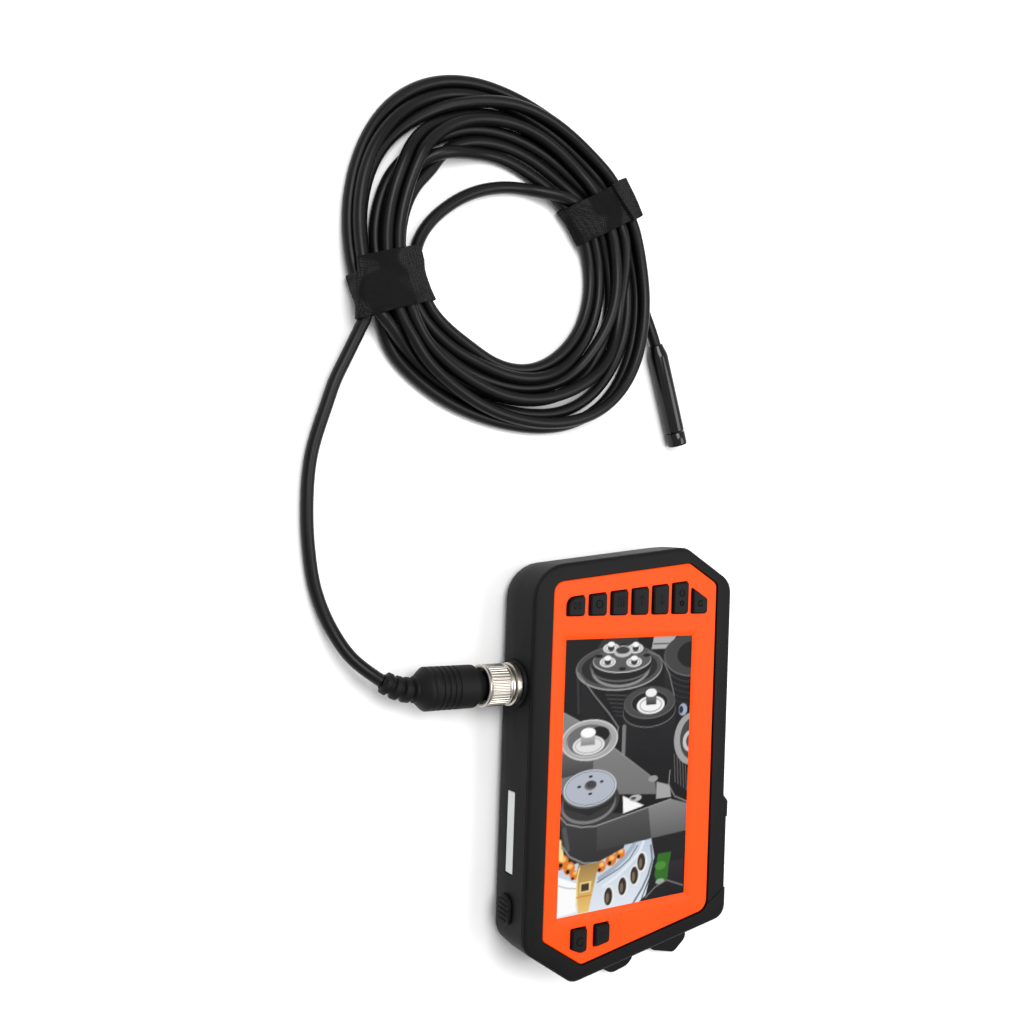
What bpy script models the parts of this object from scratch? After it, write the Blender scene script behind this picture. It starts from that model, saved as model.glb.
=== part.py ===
"""Handheld inspection camera: a flat case with a screen and keys, lying on its back, and its
probe cable, which leaves the left side and lies coiled on the same surface above the case.

Metres. x runs across the screen to the right, y to the top of the case, z out of the screen.
The back of the case lies on z = 0. The case drawing has its origin in the middle of its width,
level with the middle of the screen. Everything hangs on one empty, which moves that drawing so
that the case, with its socket, stand and port cover, is centred on the origin.
"""

import math

import bmesh
import bpy
from mathutils import Vector

# ---- Driving dimensions ----
ORIGIN_SHIFT = (0.00375, 0.0001, 0.0)
GAP = 0.0003

CASE_SIDE = 0.0505
PAD_SIDE = 0.0529
CASE_DEPTH = 0.0260
SEAM_Z = 0.0240
WALL = 0.0024
FLOOR = 0.0030
# Corners of the case and of its orange panel, anticlockwise: x, y, corner radius.
CASE_CORNERS = [
    (-CASE_SIDE, 0.0822, 0.0150),
    (-CASE_SIDE, -0.0636, 0.0080),
    (-0.0268, -0.0801, 0.0070),
    (PAD_SIDE, -0.0670, 0.0060),
    (PAD_SIDE, -0.0175, 0.0015),
    (CASE_SIDE, -0.0150, 0.0015),
    (CASE_SIDE, 0.0767, 0.0080),
    (0.0245, 0.0912, 0.0100),
]
PANEL_CORNERS = [
    (-0.0418, 0.0765, 0.0052),
    (-0.0418, -0.0610, 0.0030),
    (-0.0230, -0.0735, 0.0030),
    (0.0422, -0.0623, 0.0052),
    (0.0422, 0.0759, 0.0030),
    (0.0267, 0.0845, 0.0035),
]
# The shell's outside and inside, from the rim to the floor: how far in from the outline, and z.
SHELL_OUTSIDE = [
    (0.0, SEAM_Z), (0.0, 0.0125), (0.0007, 0.0050), (0.0016, 0.0026), (0.0028, 0.0009), (0.0046, 0.0)
]
SHELL_INSIDE = [(WALL, SEAM_Z), (WALL, 0.0055), (0.0050, FLOOR)]
# The front frame's rings: a spigot inside the shell, then the rim on top of it.
SPIGOT_INSET, SPIGOT_LOW = WALL + 0.0006, 0.0212
FRAME_EDGE = [
    (SPIGOT_INSET, SPIGOT_LOW),
    (SPIGOT_INSET, SEAM_Z + GAP),
    (0.0, SEAM_Z + GAP),
    (0.0, 0.0249),
    (0.0003, 0.0254),
    (0.0009, 0.0258),
    (0.0018, CASE_DEPTH),
]

PANEL_TOP, PANEL_BOTTOM = 0.0255, 0.0240
LEDGE_TOP = PANEL_BOTTOM - GAP
SCREEN_CENTRE_X = -0.0020
SCREEN_SIZE = (0.0648, 0.1080)
WINDOW_BEVEL = 0.0027
GLASS_TOP = PANEL_BOTTOM - GAP
GLASS_THICK = 0.0012
DISPLAY_Z = (0.0185, GLASS_TOP - GLASS_THICK - GAP)

# Keys: a row along the top and a pair at the bottom left.
KEY_GAP = 0.0004
KEY_TOP_Z, KEY_BOTTOM_Z = 0.0271, 0.0216
KEY_FLANGE, KEY_FLANGE_TOP = 0.0009, 0.0232
TOP_KEY_COUNT, TOP_KEY_WIDTH, TOP_KEY_PITCH = 7, 0.0078, 0.01062
TOP_KEY_FIRST_X, TOP_KEY_BASE_Y = -0.0316, 0.0637
TOP_KEY_LEFT_HEIGHT, TOP_KEY_SLOPE = 0.0067, 0.103
LAST_KEY_HEIGHTS = (0.0103, 0.0059)
LOW_KEY_WIDTH, LOW_KEY_PITCH, LOW_KEY_FIRST_X, LOW_KEY_TOP_Y = 0.0069, 0.0111, -0.0249, -0.0589
KEY_BOARD_Z = (0.0189, 0.0201)

# Left side: connector, light strip and slide switch, all on the middle plane of the case.
AXIS_Y, AXIS_Z = 0.0363, 0.0130
SOCKET_RADIUS, SOCKET_BORE, SOCKET_HOLE = 0.0060, 0.0047, 0.0063
NUT_RADIUS, PLUG_RADIUS = 0.0082, 0.0082
STRIP_Y, STRIP_Z = (-0.0373, -0.0055), (0.0109, 0.0158)
SWITCH_Y, SWITCH_Z, SWITCH_TRAVEL = -0.0513, 0.0125, 0.0040

# Right side: the cover over the ports turns about a pin near its rear edge.
COVER_Y = (-0.0546, -0.0245)
COVER_INNER, COVER_LOW, COVER_HIGH = 0.0506, 0.0055, 0.0256
COVER_AXIS = (0.0515, 0.0065)
PORT_Z = 0.0133
USB_Y, CARD_Y = -0.0318, -0.0448

# Back: the stand, folded into its recess, and the case screws.
STAND_AXIS = (-0.0220, 0.0022)
STAND_Z = (0.0005, 0.0039)
STAND_RECESS_Z = STAND_Z[1] + GAP
STAND_CORNERS = [
    (0.0015, -0.0220, 0.0003),
    (0.0015, -0.0868, 0.0040),
    (0.0092, -0.0915, 0.0060),
    (0.0188, -0.0893, 0.0060),
    (0.0250, -0.0780, 0.0020),
    (0.0285, -0.0780, 0.0020),
    (0.0312, -0.0857, 0.0025),
    (0.0438, -0.0889, 0.0030),
    (0.0510, -0.0832, 0.0035),
    (0.0465, -0.0700, 0.0030),
    (0.0465, -0.0220, 0.0003),
]
SCREWS = [(-0.0415, 0.0660), (0.0415, 0.0660), (0.0415, -0.0100), (-0.0380, -0.0605)]
POST_RADIUS = 0.0030

# Cable, coil, straps and probe. Route points are x, y, z of the cable's middle.
CABLE_RADIUS = 0.0024
RELIEF_ROUTE = [
    (-0.0942, 0.0363, 0.0130), (-0.0985, 0.0366, 0.0129), (-0.1025, 0.0378, 0.0125),
    (-0.1065, 0.0398, 0.0119),
]
LEAD_ROUTE = [
    (-0.1073, 0.0403, 0.0116),
    (-0.1105, 0.0425, 0.0108),
    (-0.1168, 0.0479, 0.0079),
    (-0.1239, 0.0585, 0.0044),
    (-0.1296, 0.0720, 0.0026),
    (-0.1328, 0.0875, 0.0025),
    (-0.1340, 0.1024, 0.0025),
    (-0.1333, 0.1190, 0.0025),
    (-0.1308, 0.1330, 0.0025),
    (-0.1262, 0.1455, 0.0025),
    (-0.1216, 0.1570, 0.0025),
    (-0.1182, 0.1646, 0.0025),
]
STRAND_ROUTE = [
    (-0.0945, 0.2025, 0.0027),
    (-0.0905, 0.2105, 0.0025),
    (-0.0762, 0.2230, 0.0025),
    (-0.0575, 0.2306, 0.0025),
    (-0.0425, 0.2326, 0.0025),
    (-0.0314, 0.2290, 0.0027),
]
TAIL_ROUTE = [
    (0.0153, 0.2050, 0.0025), (0.0158, 0.1960, 0.0028), (0.0180, 0.1876, 0.0037), (0.0214, 0.1784, 0.0044)
]
COIL_CENTRE = (-0.0570, 0.2015)
COIL_INNER, COIL_OUTER = 0.0405, 0.0695
COIL_LOW, COIL_HIGH = 0.0019, 0.0118
STRAP_WIDTH, STRAP_THICK = 0.0160, 0.0012
STRAP_ANGLES = (200.0, 31.4)
PROBE_RADIUS = 0.00425
PROBE_START, PROBE_HEADING = (0.0216, 0.1779, 0.0044), -71.2
PROBE_CAP_FROM, PROBE_LENGTH = 0.0389, 0.0447

# ---- Colours: base colour, roughness, metallic ----
BLACK_CASE = ((0.030, 0.030, 0.033), 0.55, 0.0)
ORANGE = ((1.000, 0.130, 0.018), 0.42, 0.0)
BLACK_RUBBER = ((0.020, 0.020, 0.022), 0.75, 0.0)
GLOSS_BLACK = ((0.010, 0.010, 0.011), 0.12, 0.0)
NICKEL = ((0.780, 0.760, 0.720), 0.22, 1.0)
STEEL = ((0.450, 0.450, 0.460), 0.35, 1.0)
BOARD_GREEN = ((0.020, 0.120, 0.050), 0.50, 0.0)
PALE_DIFFUSER = ((0.620, 0.630, 0.620), 0.35, 0.0)
FOIL_GREY = ((0.350, 0.350, 0.370), 0.45, 0.0)
SCREEN_DARK = ((0.015, 0.017, 0.020), 0.10, 0.0)

SHARPEST = 0.00005
ROUND_SIDES = 28


# ---- Shape building ----
def arc_steps(radius):
    """Straight pieces in a corner of this radius."""
    if radius < 0.0010:
        return 1
    if radius < 0.0040:
        return 3
    return 4 if radius < 0.0120 else 7


def outline(corners, inset=0.0):
    """Points of a polygon with round corners, anticlockwise, with each side moved in by inset."""
    sides = []
    for (x0, y0, _), (x1, y1, _) in zip(corners, corners[1:] + corners[:1]):
        along = Vector((x1 - x0, y1 - y0)).normalized()
        inward = Vector((-along.y, along.x))
        sides.append((Vector((x0, y0)) + inward * inset, along))
    points = []
    for index, (_, _, radius) in enumerate(corners):
        (start_a, along_a), (start_b, along_b) = sides[index - 1], sides[index]
        cross = along_a.cross(along_b)
        corner = start_a + along_a * ((start_b - start_a).cross(along_b) / cross)
        turn = math.atan2(cross, along_a.dot(along_b))
        bend = max(radius - math.copysign(inset, turn), SHARPEST)
        to_centre = Vector((-along_a.y, along_a.x)) * math.copysign(bend, turn)
        centre = corner - along_a * bend * math.tan(abs(turn) / 2) + to_centre
        steps = arc_steps(radius)
        for step in range(steps + 1):
            angle = turn * step / steps
            spoke = -to_centre
            rotated = (
                spoke.x * math.cos(angle) - spoke.y * math.sin(angle),
                spoke.x * math.sin(angle) + spoke.y * math.cos(angle),
            )
            points.append((centre.x + rotated[0], centre.y + rotated[1]))
    return points


def at_height(points, z):
    return [(x, y, z) for x, y in points]


def skin(rings, hollow=False):
    """A bmesh over rings of points. The end rings are capped, or joined if the body is hollow."""
    bm = bmesh.new()
    loops = [[bm.verts.new(point) for point in ring] for ring in rings]
    pairs = list(zip(loops, loops[1:]))
    if hollow:
        pairs.append((loops[-1], loops[0]))
    else:
        bm.faces.new(loops[0])
        bm.faces.new(loops[-1])
    for first, second in pairs:
        for i in range(len(first)):
            j = (i + 1) % len(first)
            bm.faces.new((first[i], first[j], second[j], second[i]))
    bmesh.ops.recalc_face_normals(bm, faces=bm.faces[:])
    return bm


def prism(points, low, high):
    return skin([at_height(points, low), at_height(points, high)])


def block(low, high):
    (x0, y0, z0), (x1, y1, z1) = low, high
    return prism([(x0, y0), (x1, y0), (x1, y1), (x0, y1)], z0, z1)


def circle(radius, sides=ROUND_SIDES):
    angles = [2 * math.pi * i / sides for i in range(sides)]
    return [(radius * math.cos(a), radius * math.sin(a)) for a in angles]


def hexagon(across_flats, sides=24):
    """Points around a hexagon, as many as on a circle that it is skinned to."""
    points = []
    for i in range(sides):
        angle = 2 * math.pi * i / sides
        off_flat = (angle + math.pi / 6) % (math.pi / 3) - math.pi / 6
        radius = across_flats / 2 / math.cos(off_flat)
        points.append((radius * math.cos(angle), radius * math.sin(angle)))
    return points


def turned(profile, hollow=False, sides=ROUND_SIDES):
    """A body turned about z from (radius, height) pairs. A hollow one's profile is a closed loop."""
    return skin([at_height(circle(radius, sides), height) for radius, height in profile], hollow)


def moved(bm, offset=(0, 0, 0), along="Z"):
    """The bmesh with its z axis laid along X or Y, then shifted."""
    lay = {"X": lambda c: (c.z, c.x, c.y), "Y": lambda c: (c.y, c.z, c.x), "Z": lambda c: tuple(c)}[along]
    for vert in bm.verts:
        vert.co = Vector(lay(vert.co)) + Vector(offset)
    return bm


def together(parts):
    """One bmesh that holds all of these, which don't touch each other."""
    whole = bmesh.new()
    for part in parts:
        mesh = bpy.data.meshes.new("part")
        part.to_mesh(mesh)
        part.free()
        whole.from_mesh(mesh)
        bpy.data.meshes.remove(mesh)
    return whole


def smooth_route(points, spacing):
    """Points along a Catmull-Rom curve through these, about this far apart."""
    places = [Vector(p) for p in points]
    places = [places[0] * 2 - places[1], *places, places[-1] * 2 - places[-2]]
    fine = []
    for a, b, c, d in zip(places, places[1:], places[2:], places[3:]):
        for step in range(20):
            t = step / 20
            fine.append(
                0.5 * (
                    2 * b
                    + (c - a) * t
                    + (2 * a - 5 * b + 4 * c - d) * t**2
                    + (3 * b - a - 3 * c + d) * t**3
                )
            )
    fine.append(places[-2])
    lengths = [0.0]
    for a, b in zip(fine, fine[1:]):
        lengths.append(lengths[-1] + (b - a).length)
    count = max(2, round(lengths[-1] / spacing))
    route, index = [], 0
    for step in range(count + 1):
        wanted = lengths[-1] * step / count
        while index < len(fine) - 2 and lengths[index + 1] < wanted:
            index += 1
        share = (wanted - lengths[index]) / (lengths[index + 1] - lengths[index])
        route.append(fine[index].lerp(fine[index + 1], min(share, 1.0)))
    return route


# ---- Objects ----
def clear_scene():
    for obj in list(bpy.data.objects):
        bpy.data.objects.remove(obj, do_unlink=True)


def material(name, finish):
    colour, roughness, metallic = finish
    made = bpy.data.materials.new(name)
    made.use_nodes = True
    shader = made.node_tree.nodes["Principled BSDF"]
    shader.inputs["Base Color"].default_value = (*colour, 1.0)
    shader.inputs["Roughness"].default_value = roughness
    shader.inputs["Metallic"].default_value = metallic
    return made


def add(name, data, location, rotation):
    obj = bpy.data.objects.new(name, data)
    bpy.context.scene.collection.objects.link(obj)
    obj.parent = CASE
    obj.location = location
    obj.rotation_euler = rotation
    return obj


def piece(name, bm, finish, location=(0, 0, 0), rotation=(0, 0, 0)):
    """A named sub-part with its own material, smooth except at its edges."""
    mesh = bpy.data.meshes.new(name)
    bm.to_mesh(mesh)
    bm.free()
    mesh.shade_smooth()
    mesh.set_sharp_from_angle(angle=math.radians(32))
    mesh.materials.append(material(name, finish))
    return add(name, mesh, location, rotation)


def boolean(target, operation, name, bm):
    """Fuses or cuts the target with a helper that isn't part of the model."""
    mesh = bpy.data.meshes.new(name)
    bm.to_mesh(mesh)
    bm.free()
    helper = add(name, mesh, target.location, target.rotation_euler)
    helper.hide_render = True
    helper.display_type = "WIRE"
    modifier = target.modifiers.new(name, "BOOLEAN")
    modifier.operation = operation
    modifier.object = helper


def fuse(target, name, bm):
    boolean(target, "UNION", name, bm)


def cut(target, name, bm):
    boolean(target, "DIFFERENCE", name, bm)


def tube(name, route, radius, finish, widths=None):
    """A curve with a round bevel through the route. widths scale the radius along it."""
    curve = bpy.data.curves.new(name, "CURVE")
    curve.dimensions = "3D"
    curve.bevel_depth = radius
    curve.bevel_resolution = 2
    curve.use_fill_caps = True
    spline = curve.splines.new("POLY")
    spline.points.add(len(route) - 1)
    for index, place in enumerate(route):
        spline.points[index].co = (*place, 1.0)
        spline.points[index].radius = widths[index] if widths else 1.0
    curve.materials.append(material(name, finish))
    return add(name, curve, (0, 0, 0), (0, 0, 0))


# ---- Case ----
def key_outlines():
    """Each key's name, centre and corners about that centre."""
    half = TOP_KEY_WIDTH / 2
    keys = []
    for index in range(TOP_KEY_COUNT):
        x = TOP_KEY_FIRST_X + index * TOP_KEY_PITCH
        left = TOP_KEY_LEFT_HEIGHT + TOP_KEY_SLOPE * TOP_KEY_PITCH * index
        right = left + TOP_KEY_SLOPE * TOP_KEY_WIDTH
        if index == TOP_KEY_COUNT - 1:
            left, right = LAST_KEY_HEIGHTS
        top_left_radius = 0.0040 if index == 0 else 0.0010
        corners = [
            (-half, 0, 0.0010), (half, 0, 0.0010), (half, right, 0.0010), (-half, left, top_left_radius)
        ]
        keys.append((f"key_{index + 1}", (x, TOP_KEY_BASE_Y), corners))
    half = LOW_KEY_WIDTH / 2
    pointed = [
        (half, -0.0088, 0.001), (half, 0, 0.001), (-half, 0, 0.001), (-half, -0.0072, 0.001),
        (0.0010, -0.0093, 0.001),
    ]
    slanted = [(half, -0.0072, 0.001), (half, 0, 0.001), (-half, 0, 0.001), (-half, -0.0083, 0.001)]
    for index, corners in enumerate((pointed, slanted)):
        centre = (LOW_KEY_FIRST_X + index * LOW_KEY_PITCH, LOW_KEY_TOP_Y)
        keys.append((f"key_{TOP_KEY_COUNT + index + 1}", centre, corners))
    return keys


def placed_outline(corners, centre, inset):
    return [(x + centre[0], y + centre[1]) for x, y in outline(corners, inset)]


def make_front_frame():
    frame = piece(
        "front_frame", skin([at_height(outline(CASE_CORNERS, i), z) for i, z in FRAME_EDGE]), BLACK_CASE
    )
    cut(frame, "frame_seat_cutter", prism(outline(PANEL_CORNERS, -GAP), LEDGE_TOP, CASE_DEPTH + 0.001))
    cut(
        frame,
        "frame_opening_cutter",
        prism(outline(PANEL_CORNERS, 0.0017), SPIGOT_LOW - 0.001, LEDGE_TOP + 0.001),
    )
    posts = [
        moved(
            turned([(POST_RADIUS, FLOOR + GAP), (POST_RADIUS, SPIGOT_LOW + 0.0010)], sides=16), (x, y, 0)
        )
        for x, y in SCREWS
    ]
    fuse(frame, "frame_posts", together(posts))
    holes = [moved(turned([(0.0015, 0), (0.0015, 0.0125)], sides=12), (x, y, 0)) for x, y in SCREWS]
    cut(frame, "frame_post_holes_cutter", together(holes))
    cut(frame, "frame_pocket_cutter", cover_pocket())
    groove = [(0.0504, -0.0548), (0.0425, -0.0597), (0.0427, -0.0600), (0.0506, -0.0551)]
    cut(frame, "frame_groove_cutter", prism(groove, CASE_DEPTH - 0.0008, CASE_DEPTH + 0.001))


def make_front_panel():
    """The orange panel, with a sloping edge around the screen and an opening for each key."""
    edge = [(0.0, PANEL_BOTTOM), (0.0, PANEL_TOP - 0.0004), (0.0004, PANEL_TOP)]
    panel = piece("front_panel", skin([at_height(outline(PANEL_CORNERS, i), z) for i, z in edge]), ORANGE)
    half_x, half_y = SCREEN_SIZE[0] / 2, SCREEN_SIZE[1] / 2
    window = [(-half_x, -half_y), (half_x, -half_y), (half_x, half_y), (-half_x, half_y)]
    rings = []
    for spread, z in (
        (0.0, PANEL_BOTTOM - 0.001), (0.0, PANEL_BOTTOM + 0.0001), (WINDOW_BEVEL, PANEL_TOP),
        (WINDOW_BEVEL, PANEL_TOP + 0.001),
    ):
        wide = [
            (x + math.copysign(spread, x) + SCREEN_CENTRE_X, y + math.copysign(spread, y))
            for x, y in window
        ]
        rings.append(at_height(wide, z))
    cut(panel, "panel_window_cutter", skin(rings))
    openings = [
        prism(placed_outline(c, at, -KEY_GAP), PANEL_BOTTOM - 0.001, PANEL_TOP + 0.001)
        for _, at, c in key_outlines()
    ]
    cut(panel, "panel_keys_cutter", together(openings))


def make_keys():
    for name, centre, corners in key_outlines():
        levels = [
            (-KEY_FLANGE, KEY_BOTTOM_Z),
            (-KEY_FLANGE, KEY_FLANGE_TOP),
            (0.0, KEY_FLANGE_TOP),
            (0.0, KEY_TOP_Z - 0.0004),
            (0.0004, KEY_TOP_Z),
        ]
        rings = [at_height(outline(corners, i), z - KEY_BOTTOM_Z) for i, z in levels]
        piece(name, skin(rings), BLACK_RUBBER, location=(*centre, KEY_BOTTOM_Z))


def stand_block():
    """Raised floor inside the shell, over the recess of the stand."""
    points = [(-0.0030, -0.0175), (-0.0030, -0.0729), (0.0495, -0.0642), (0.0495, -0.0175)]
    return prism(points, 0.0015, STAND_RECESS_Z + 0.0024)


def cover_pocket():
    low = (COVER_INNER - GAP, COVER_Y[0] - GAP, COVER_LOW - 0.0007)
    return block(low, (PAD_SIDE + 0.001, COVER_Y[1] + GAP, CASE_DEPTH + 0.001))


def make_rear_shell():
    levels = SHELL_OUTSIDE[::-1] + SHELL_INSIDE
    shell = piece("rear_shell", skin([at_height(outline(CASE_CORNERS, i), z) for i, z in levels]), BLACK_CASE)
    fuse(shell, "shell_stand_block", stand_block())
    left = -CASE_SIDE - 0.001
    wall = -CASE_SIDE + WALL + 0.0015
    stem = 0.0015 + GAP
    tools = [
        moved(turned([(SOCKET_HOLE, 0), (SOCKET_HOLE, WALL + 0.003)]), (left, AXIS_Y, AXIS_Z), along="X"),
        block((left, STRIP_Y[0] - GAP, STRIP_Z[0] - GAP), (wall, STRIP_Y[1] + GAP, STRIP_Z[1] + GAP)),
        block(
            (left, SWITCH_Y - stem, SWITCH_Z - stem),
            (wall, SWITCH_Y + stem + SWITCH_TRAVEL, SWITCH_Z + stem),
        ),
        block((0.0470, USB_Y - 0.0048, PORT_Z - 0.0019), (0.0515, USB_Y + 0.0048, PORT_Z + 0.0019)),
        block((0.0470, CARD_Y - 0.0061, PORT_Z - 0.0011), (0.0515, CARD_Y + 0.0061, PORT_Z + 0.0011)),
        prism(
            outline(
                STAND_CORNERS[1:-1] + [(0.0465, -0.0200, 0.0003), (0.0015, -0.0200, 0.0003)], -0.00035
            ),
            -0.001,
            STAND_RECESS_Z,
        ),
    ]
    for x, y in SCREWS:
        tools.append(
            moved(
                turned(
                    [(0.0029, -0.001), (0.0029, 0.0019), (0.0015, 0.0019), (0.0015, 0.0045)], sides=16
                ),
                (x, y, 0),
            )
        )
    cut(shell, "shell_openings_cutter", together(tools))
    cut(shell, "shell_pocket_cutter", cover_pocket())
    stand_pin = moved(turned([(0.0010, -0.0008), (0.0010, 0.0488)], sides=12), (0, *STAND_AXIS), along="X")
    cover_pin = moved(
        turned([(0.0006, COVER_Y[0] - 0.0033), (0.0006, COVER_Y[1] + 0.0033)], sides=12),
        (COVER_AXIS[0], 0, COVER_AXIS[1]),
        along="Y",
    )
    cut(shell, "shell_pins_cutter", together([stand_pin, cover_pin]))


def make_port_cover():
    """The cover, drawn about its pin: the cross-section stands in x and z and runs along y."""
    axis_x, axis_z = COVER_AXIS
    section = [
        (COVER_INNER - axis_x, COVER_LOW - axis_z, 0.0009),
        (PAD_SIDE - axis_x, COVER_LOW - axis_z, 0.0011),
        (PAD_SIDE - axis_x, COVER_HIGH - axis_z, 0.0019),
        (COVER_INNER - axis_x, COVER_HIGH - axis_z, 0.0003),
    ]
    ends = [[(x, y, z) for x, z in outline(section)] for y in COVER_Y]
    cover = piece("port_cover", skin(ends), BLACK_RUBBER, location=(axis_x, 0, axis_z))
    bore = turned([(0.0006, COVER_Y[0] - 0.001), (0.0006, COVER_Y[1] + 0.001)], sides=12)
    cut(cover, "cover_bore_cutter", moved(bore, along="Y"))
    pin = turned([(0.00032, COVER_Y[0] - 0.0030), (0.00032, COVER_Y[1] + 0.0030)], sides=12)
    piece("port_cover_pin", moved(pin, along="Y"), STEEL, location=(axis_x, 0, axis_z))


def make_stand():
    """The folding stand, drawn about its pin."""
    axis_y, axis_z = STAND_AXIS
    corners = [(x, y - axis_y, r) for x, y, r in STAND_CORNERS]
    stand = piece(
        "stand",
        prism(outline(corners), STAND_Z[0] - axis_z, STAND_Z[1] - axis_z),
        BLACK_CASE,
        location=(0, axis_y, axis_z),
    )
    fuse(stand, "stand_barrel", moved(turned([(0.00166, 0.0016), (0.00166, 0.0464)], sides=16), along="X"))
    cut(stand, "stand_bore_cutter", moved(turned([(0.0010, 0.0), (0.0010, 0.048)], sides=12), along="X"))
    pin = moved(turned([(0.0007, -0.0005), (0.0007, 0.0485)], sides=12), along="X")
    piece("stand_pin", pin, STEEL, location=(0, axis_y, axis_z))


def make_screws():
    for index, (x, y) in enumerate(SCREWS):
        profile = [(0.0016, 0.0003), (0.0026, 0.0007), (0.0026, 0.0016), (0.0012, 0.0016), (0.0012, 0.0110)]
        screw = piece(f"case_screw_{index + 1}", turned(profile, sides=16), STEEL, location=(x, y, 0))
        slot_long, slot_short = 0.0014, 0.0003
        cross = [
            (slot_long, slot_short), (slot_short, slot_short), (slot_short, slot_long),
            (-slot_short, slot_long), (-slot_short, slot_short), (-slot_long, slot_short),
            (-slot_long, -slot_short), (-slot_short, -slot_short), (-slot_short, -slot_long),
            (slot_short, -slot_long), (slot_short, -slot_short), (slot_long, -slot_short),
        ]
        cut(screw, f"screw_recess_cutter_{index + 1}", prism(cross, -0.0002, 0.0009))


# ---- Inside ----
def make_display():
    half_x, half_y = SCREEN_SIZE[0] / 2, SCREEN_SIZE[1] / 2
    for name, margin, low, high, finish in (
        ("screen_glass", 0.0020, GLASS_TOP - GLASS_THICK, GLASS_TOP, SCREEN_DARK),
        ("display_panel", 0.0030, *DISPLAY_Z, FOIL_GREY),
    ):
        x0, x1 = SCREEN_CENTRE_X - half_x - margin, SCREEN_CENTRE_X + half_x + margin
        piece(name, block((x0, -half_y - margin, low), (x1, half_y + margin, high)), finish)


def make_boards():
    board = piece("main_board", block((-0.0380, -0.0520, 0.0155), (0.0375, 0.0560, 0.0169)), BOARD_GREEN)
    chips = [
        (-0.0200, 0.0250, 0.0140, 0.0140),
        (0.0120, 0.0280, 0.0120, 0.0100),
        (-0.0040, -0.0150, 0.0100, 0.0160),
        (0.0240, -0.0200, 0.0080, 0.0080),
    ]
    fuse(
        board,
        "board_chips",
        together([block((x, y, 0.0165), (x + w, y + h, 0.0181)) for x, y, w, h in chips]),
    )
    piece(
        "battery_pack",
        prism(
            outline(
                [
                    (-0.0320, 0.0300, 0.0020), (-0.0320, -0.0480, 0.0020), (0.0280, -0.0480, 0.0020),
                    (0.0280, 0.0300, 0.0020),
                ]
            ),
            0.0070,
            0.0148,
        ),
        FOIL_GREY,
    )
    low, high = KEY_BOARD_Z
    boards = {
        "upper_key_board": ((-0.0370, 0.0600), (0.0360, 0.0760)),
        "lower_key_board": ((-0.0300, -0.0695), (-0.0090, -0.0580)),
    }
    middles = [(x, y + sum(p[1] for p in corners) / len(corners)) for _, (x, y), corners in key_outlines()]
    for name, keys in (
        ("upper_key_board", middles[:TOP_KEY_COUNT]), ("lower_key_board", middles[TOP_KEY_COUNT:])
    ):
        (x0, y0), (x1, y1) = boards[name]
        key_board = piece(name, block((x0, y0, low), (x1, y1, high)), BOARD_GREEN)
        domes = [
            moved(
                turned(
                    [(0.0024, high - 0.0004), (0.0024, high + 0.0002), (0.0014, high + 0.0005)], sides=12
                ),
                (x, y, 0),
            )
            for x, y in keys
        ]
        fuse(key_board, name + "_domes", together(domes))
    piece("light_board", block((-0.0466, -0.0400, 0.0085), (-0.0456, -0.0030, 0.0185)), BOARD_GREEN)
    piece("port_board", block((0.0350, -0.0525, 0.0100), (0.0470, -0.0255, 0.0112)), BOARD_GREEN)


def make_ports():
    """The charging port and the card slot with its card, behind the port cover."""
    port = piece(
        "usb_port",
        block((0.0410, USB_Y - 0.0045, PORT_Z - 0.0016), (0.0500, USB_Y + 0.0045, PORT_Z + 0.0016)),
        STEEL,
    )
    cut(
        port,
        "usb_mouth_cutter",
        block((0.0440, USB_Y - 0.0040, PORT_Z - 0.0011), (0.0510, USB_Y + 0.0040, PORT_Z + 0.0011)),
    )
    fuse(
        port,
        "usb_tongue",
        block((0.0435, USB_Y - 0.0030, PORT_Z - 0.0004), (0.0490, USB_Y + 0.0030, PORT_Z + 0.0004)),
    )
    slot = piece(
        "card_slot",
        block((0.0360, CARD_Y - 0.0070, PORT_Z - 0.0015), (0.0476, CARD_Y + 0.0070, PORT_Z + 0.0015)),
        STEEL,
    )
    cut(
        slot,
        "card_mouth_cutter",
        block((0.0368, CARD_Y - 0.0058, PORT_Z - 0.0008), (0.0490, CARD_Y + 0.0058, PORT_Z + 0.0008)),
    )
    piece(
        "memory_card",
        block((0.0372, CARD_Y - 0.0054, PORT_Z - 0.0004), (0.0495, CARD_Y + 0.0054, PORT_Z + 0.0004)),
        GLOSS_BLACK,
    )


# ---- Left side ----
def make_light_strip():
    low = (-CASE_SIDE + 0.0002, STRIP_Y[0], STRIP_Z[0])
    piece("light_strip", block(low, (-CASE_SIDE + 0.0031, STRIP_Y[1], STRIP_Z[1])), PALE_DIFFUSER)


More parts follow.
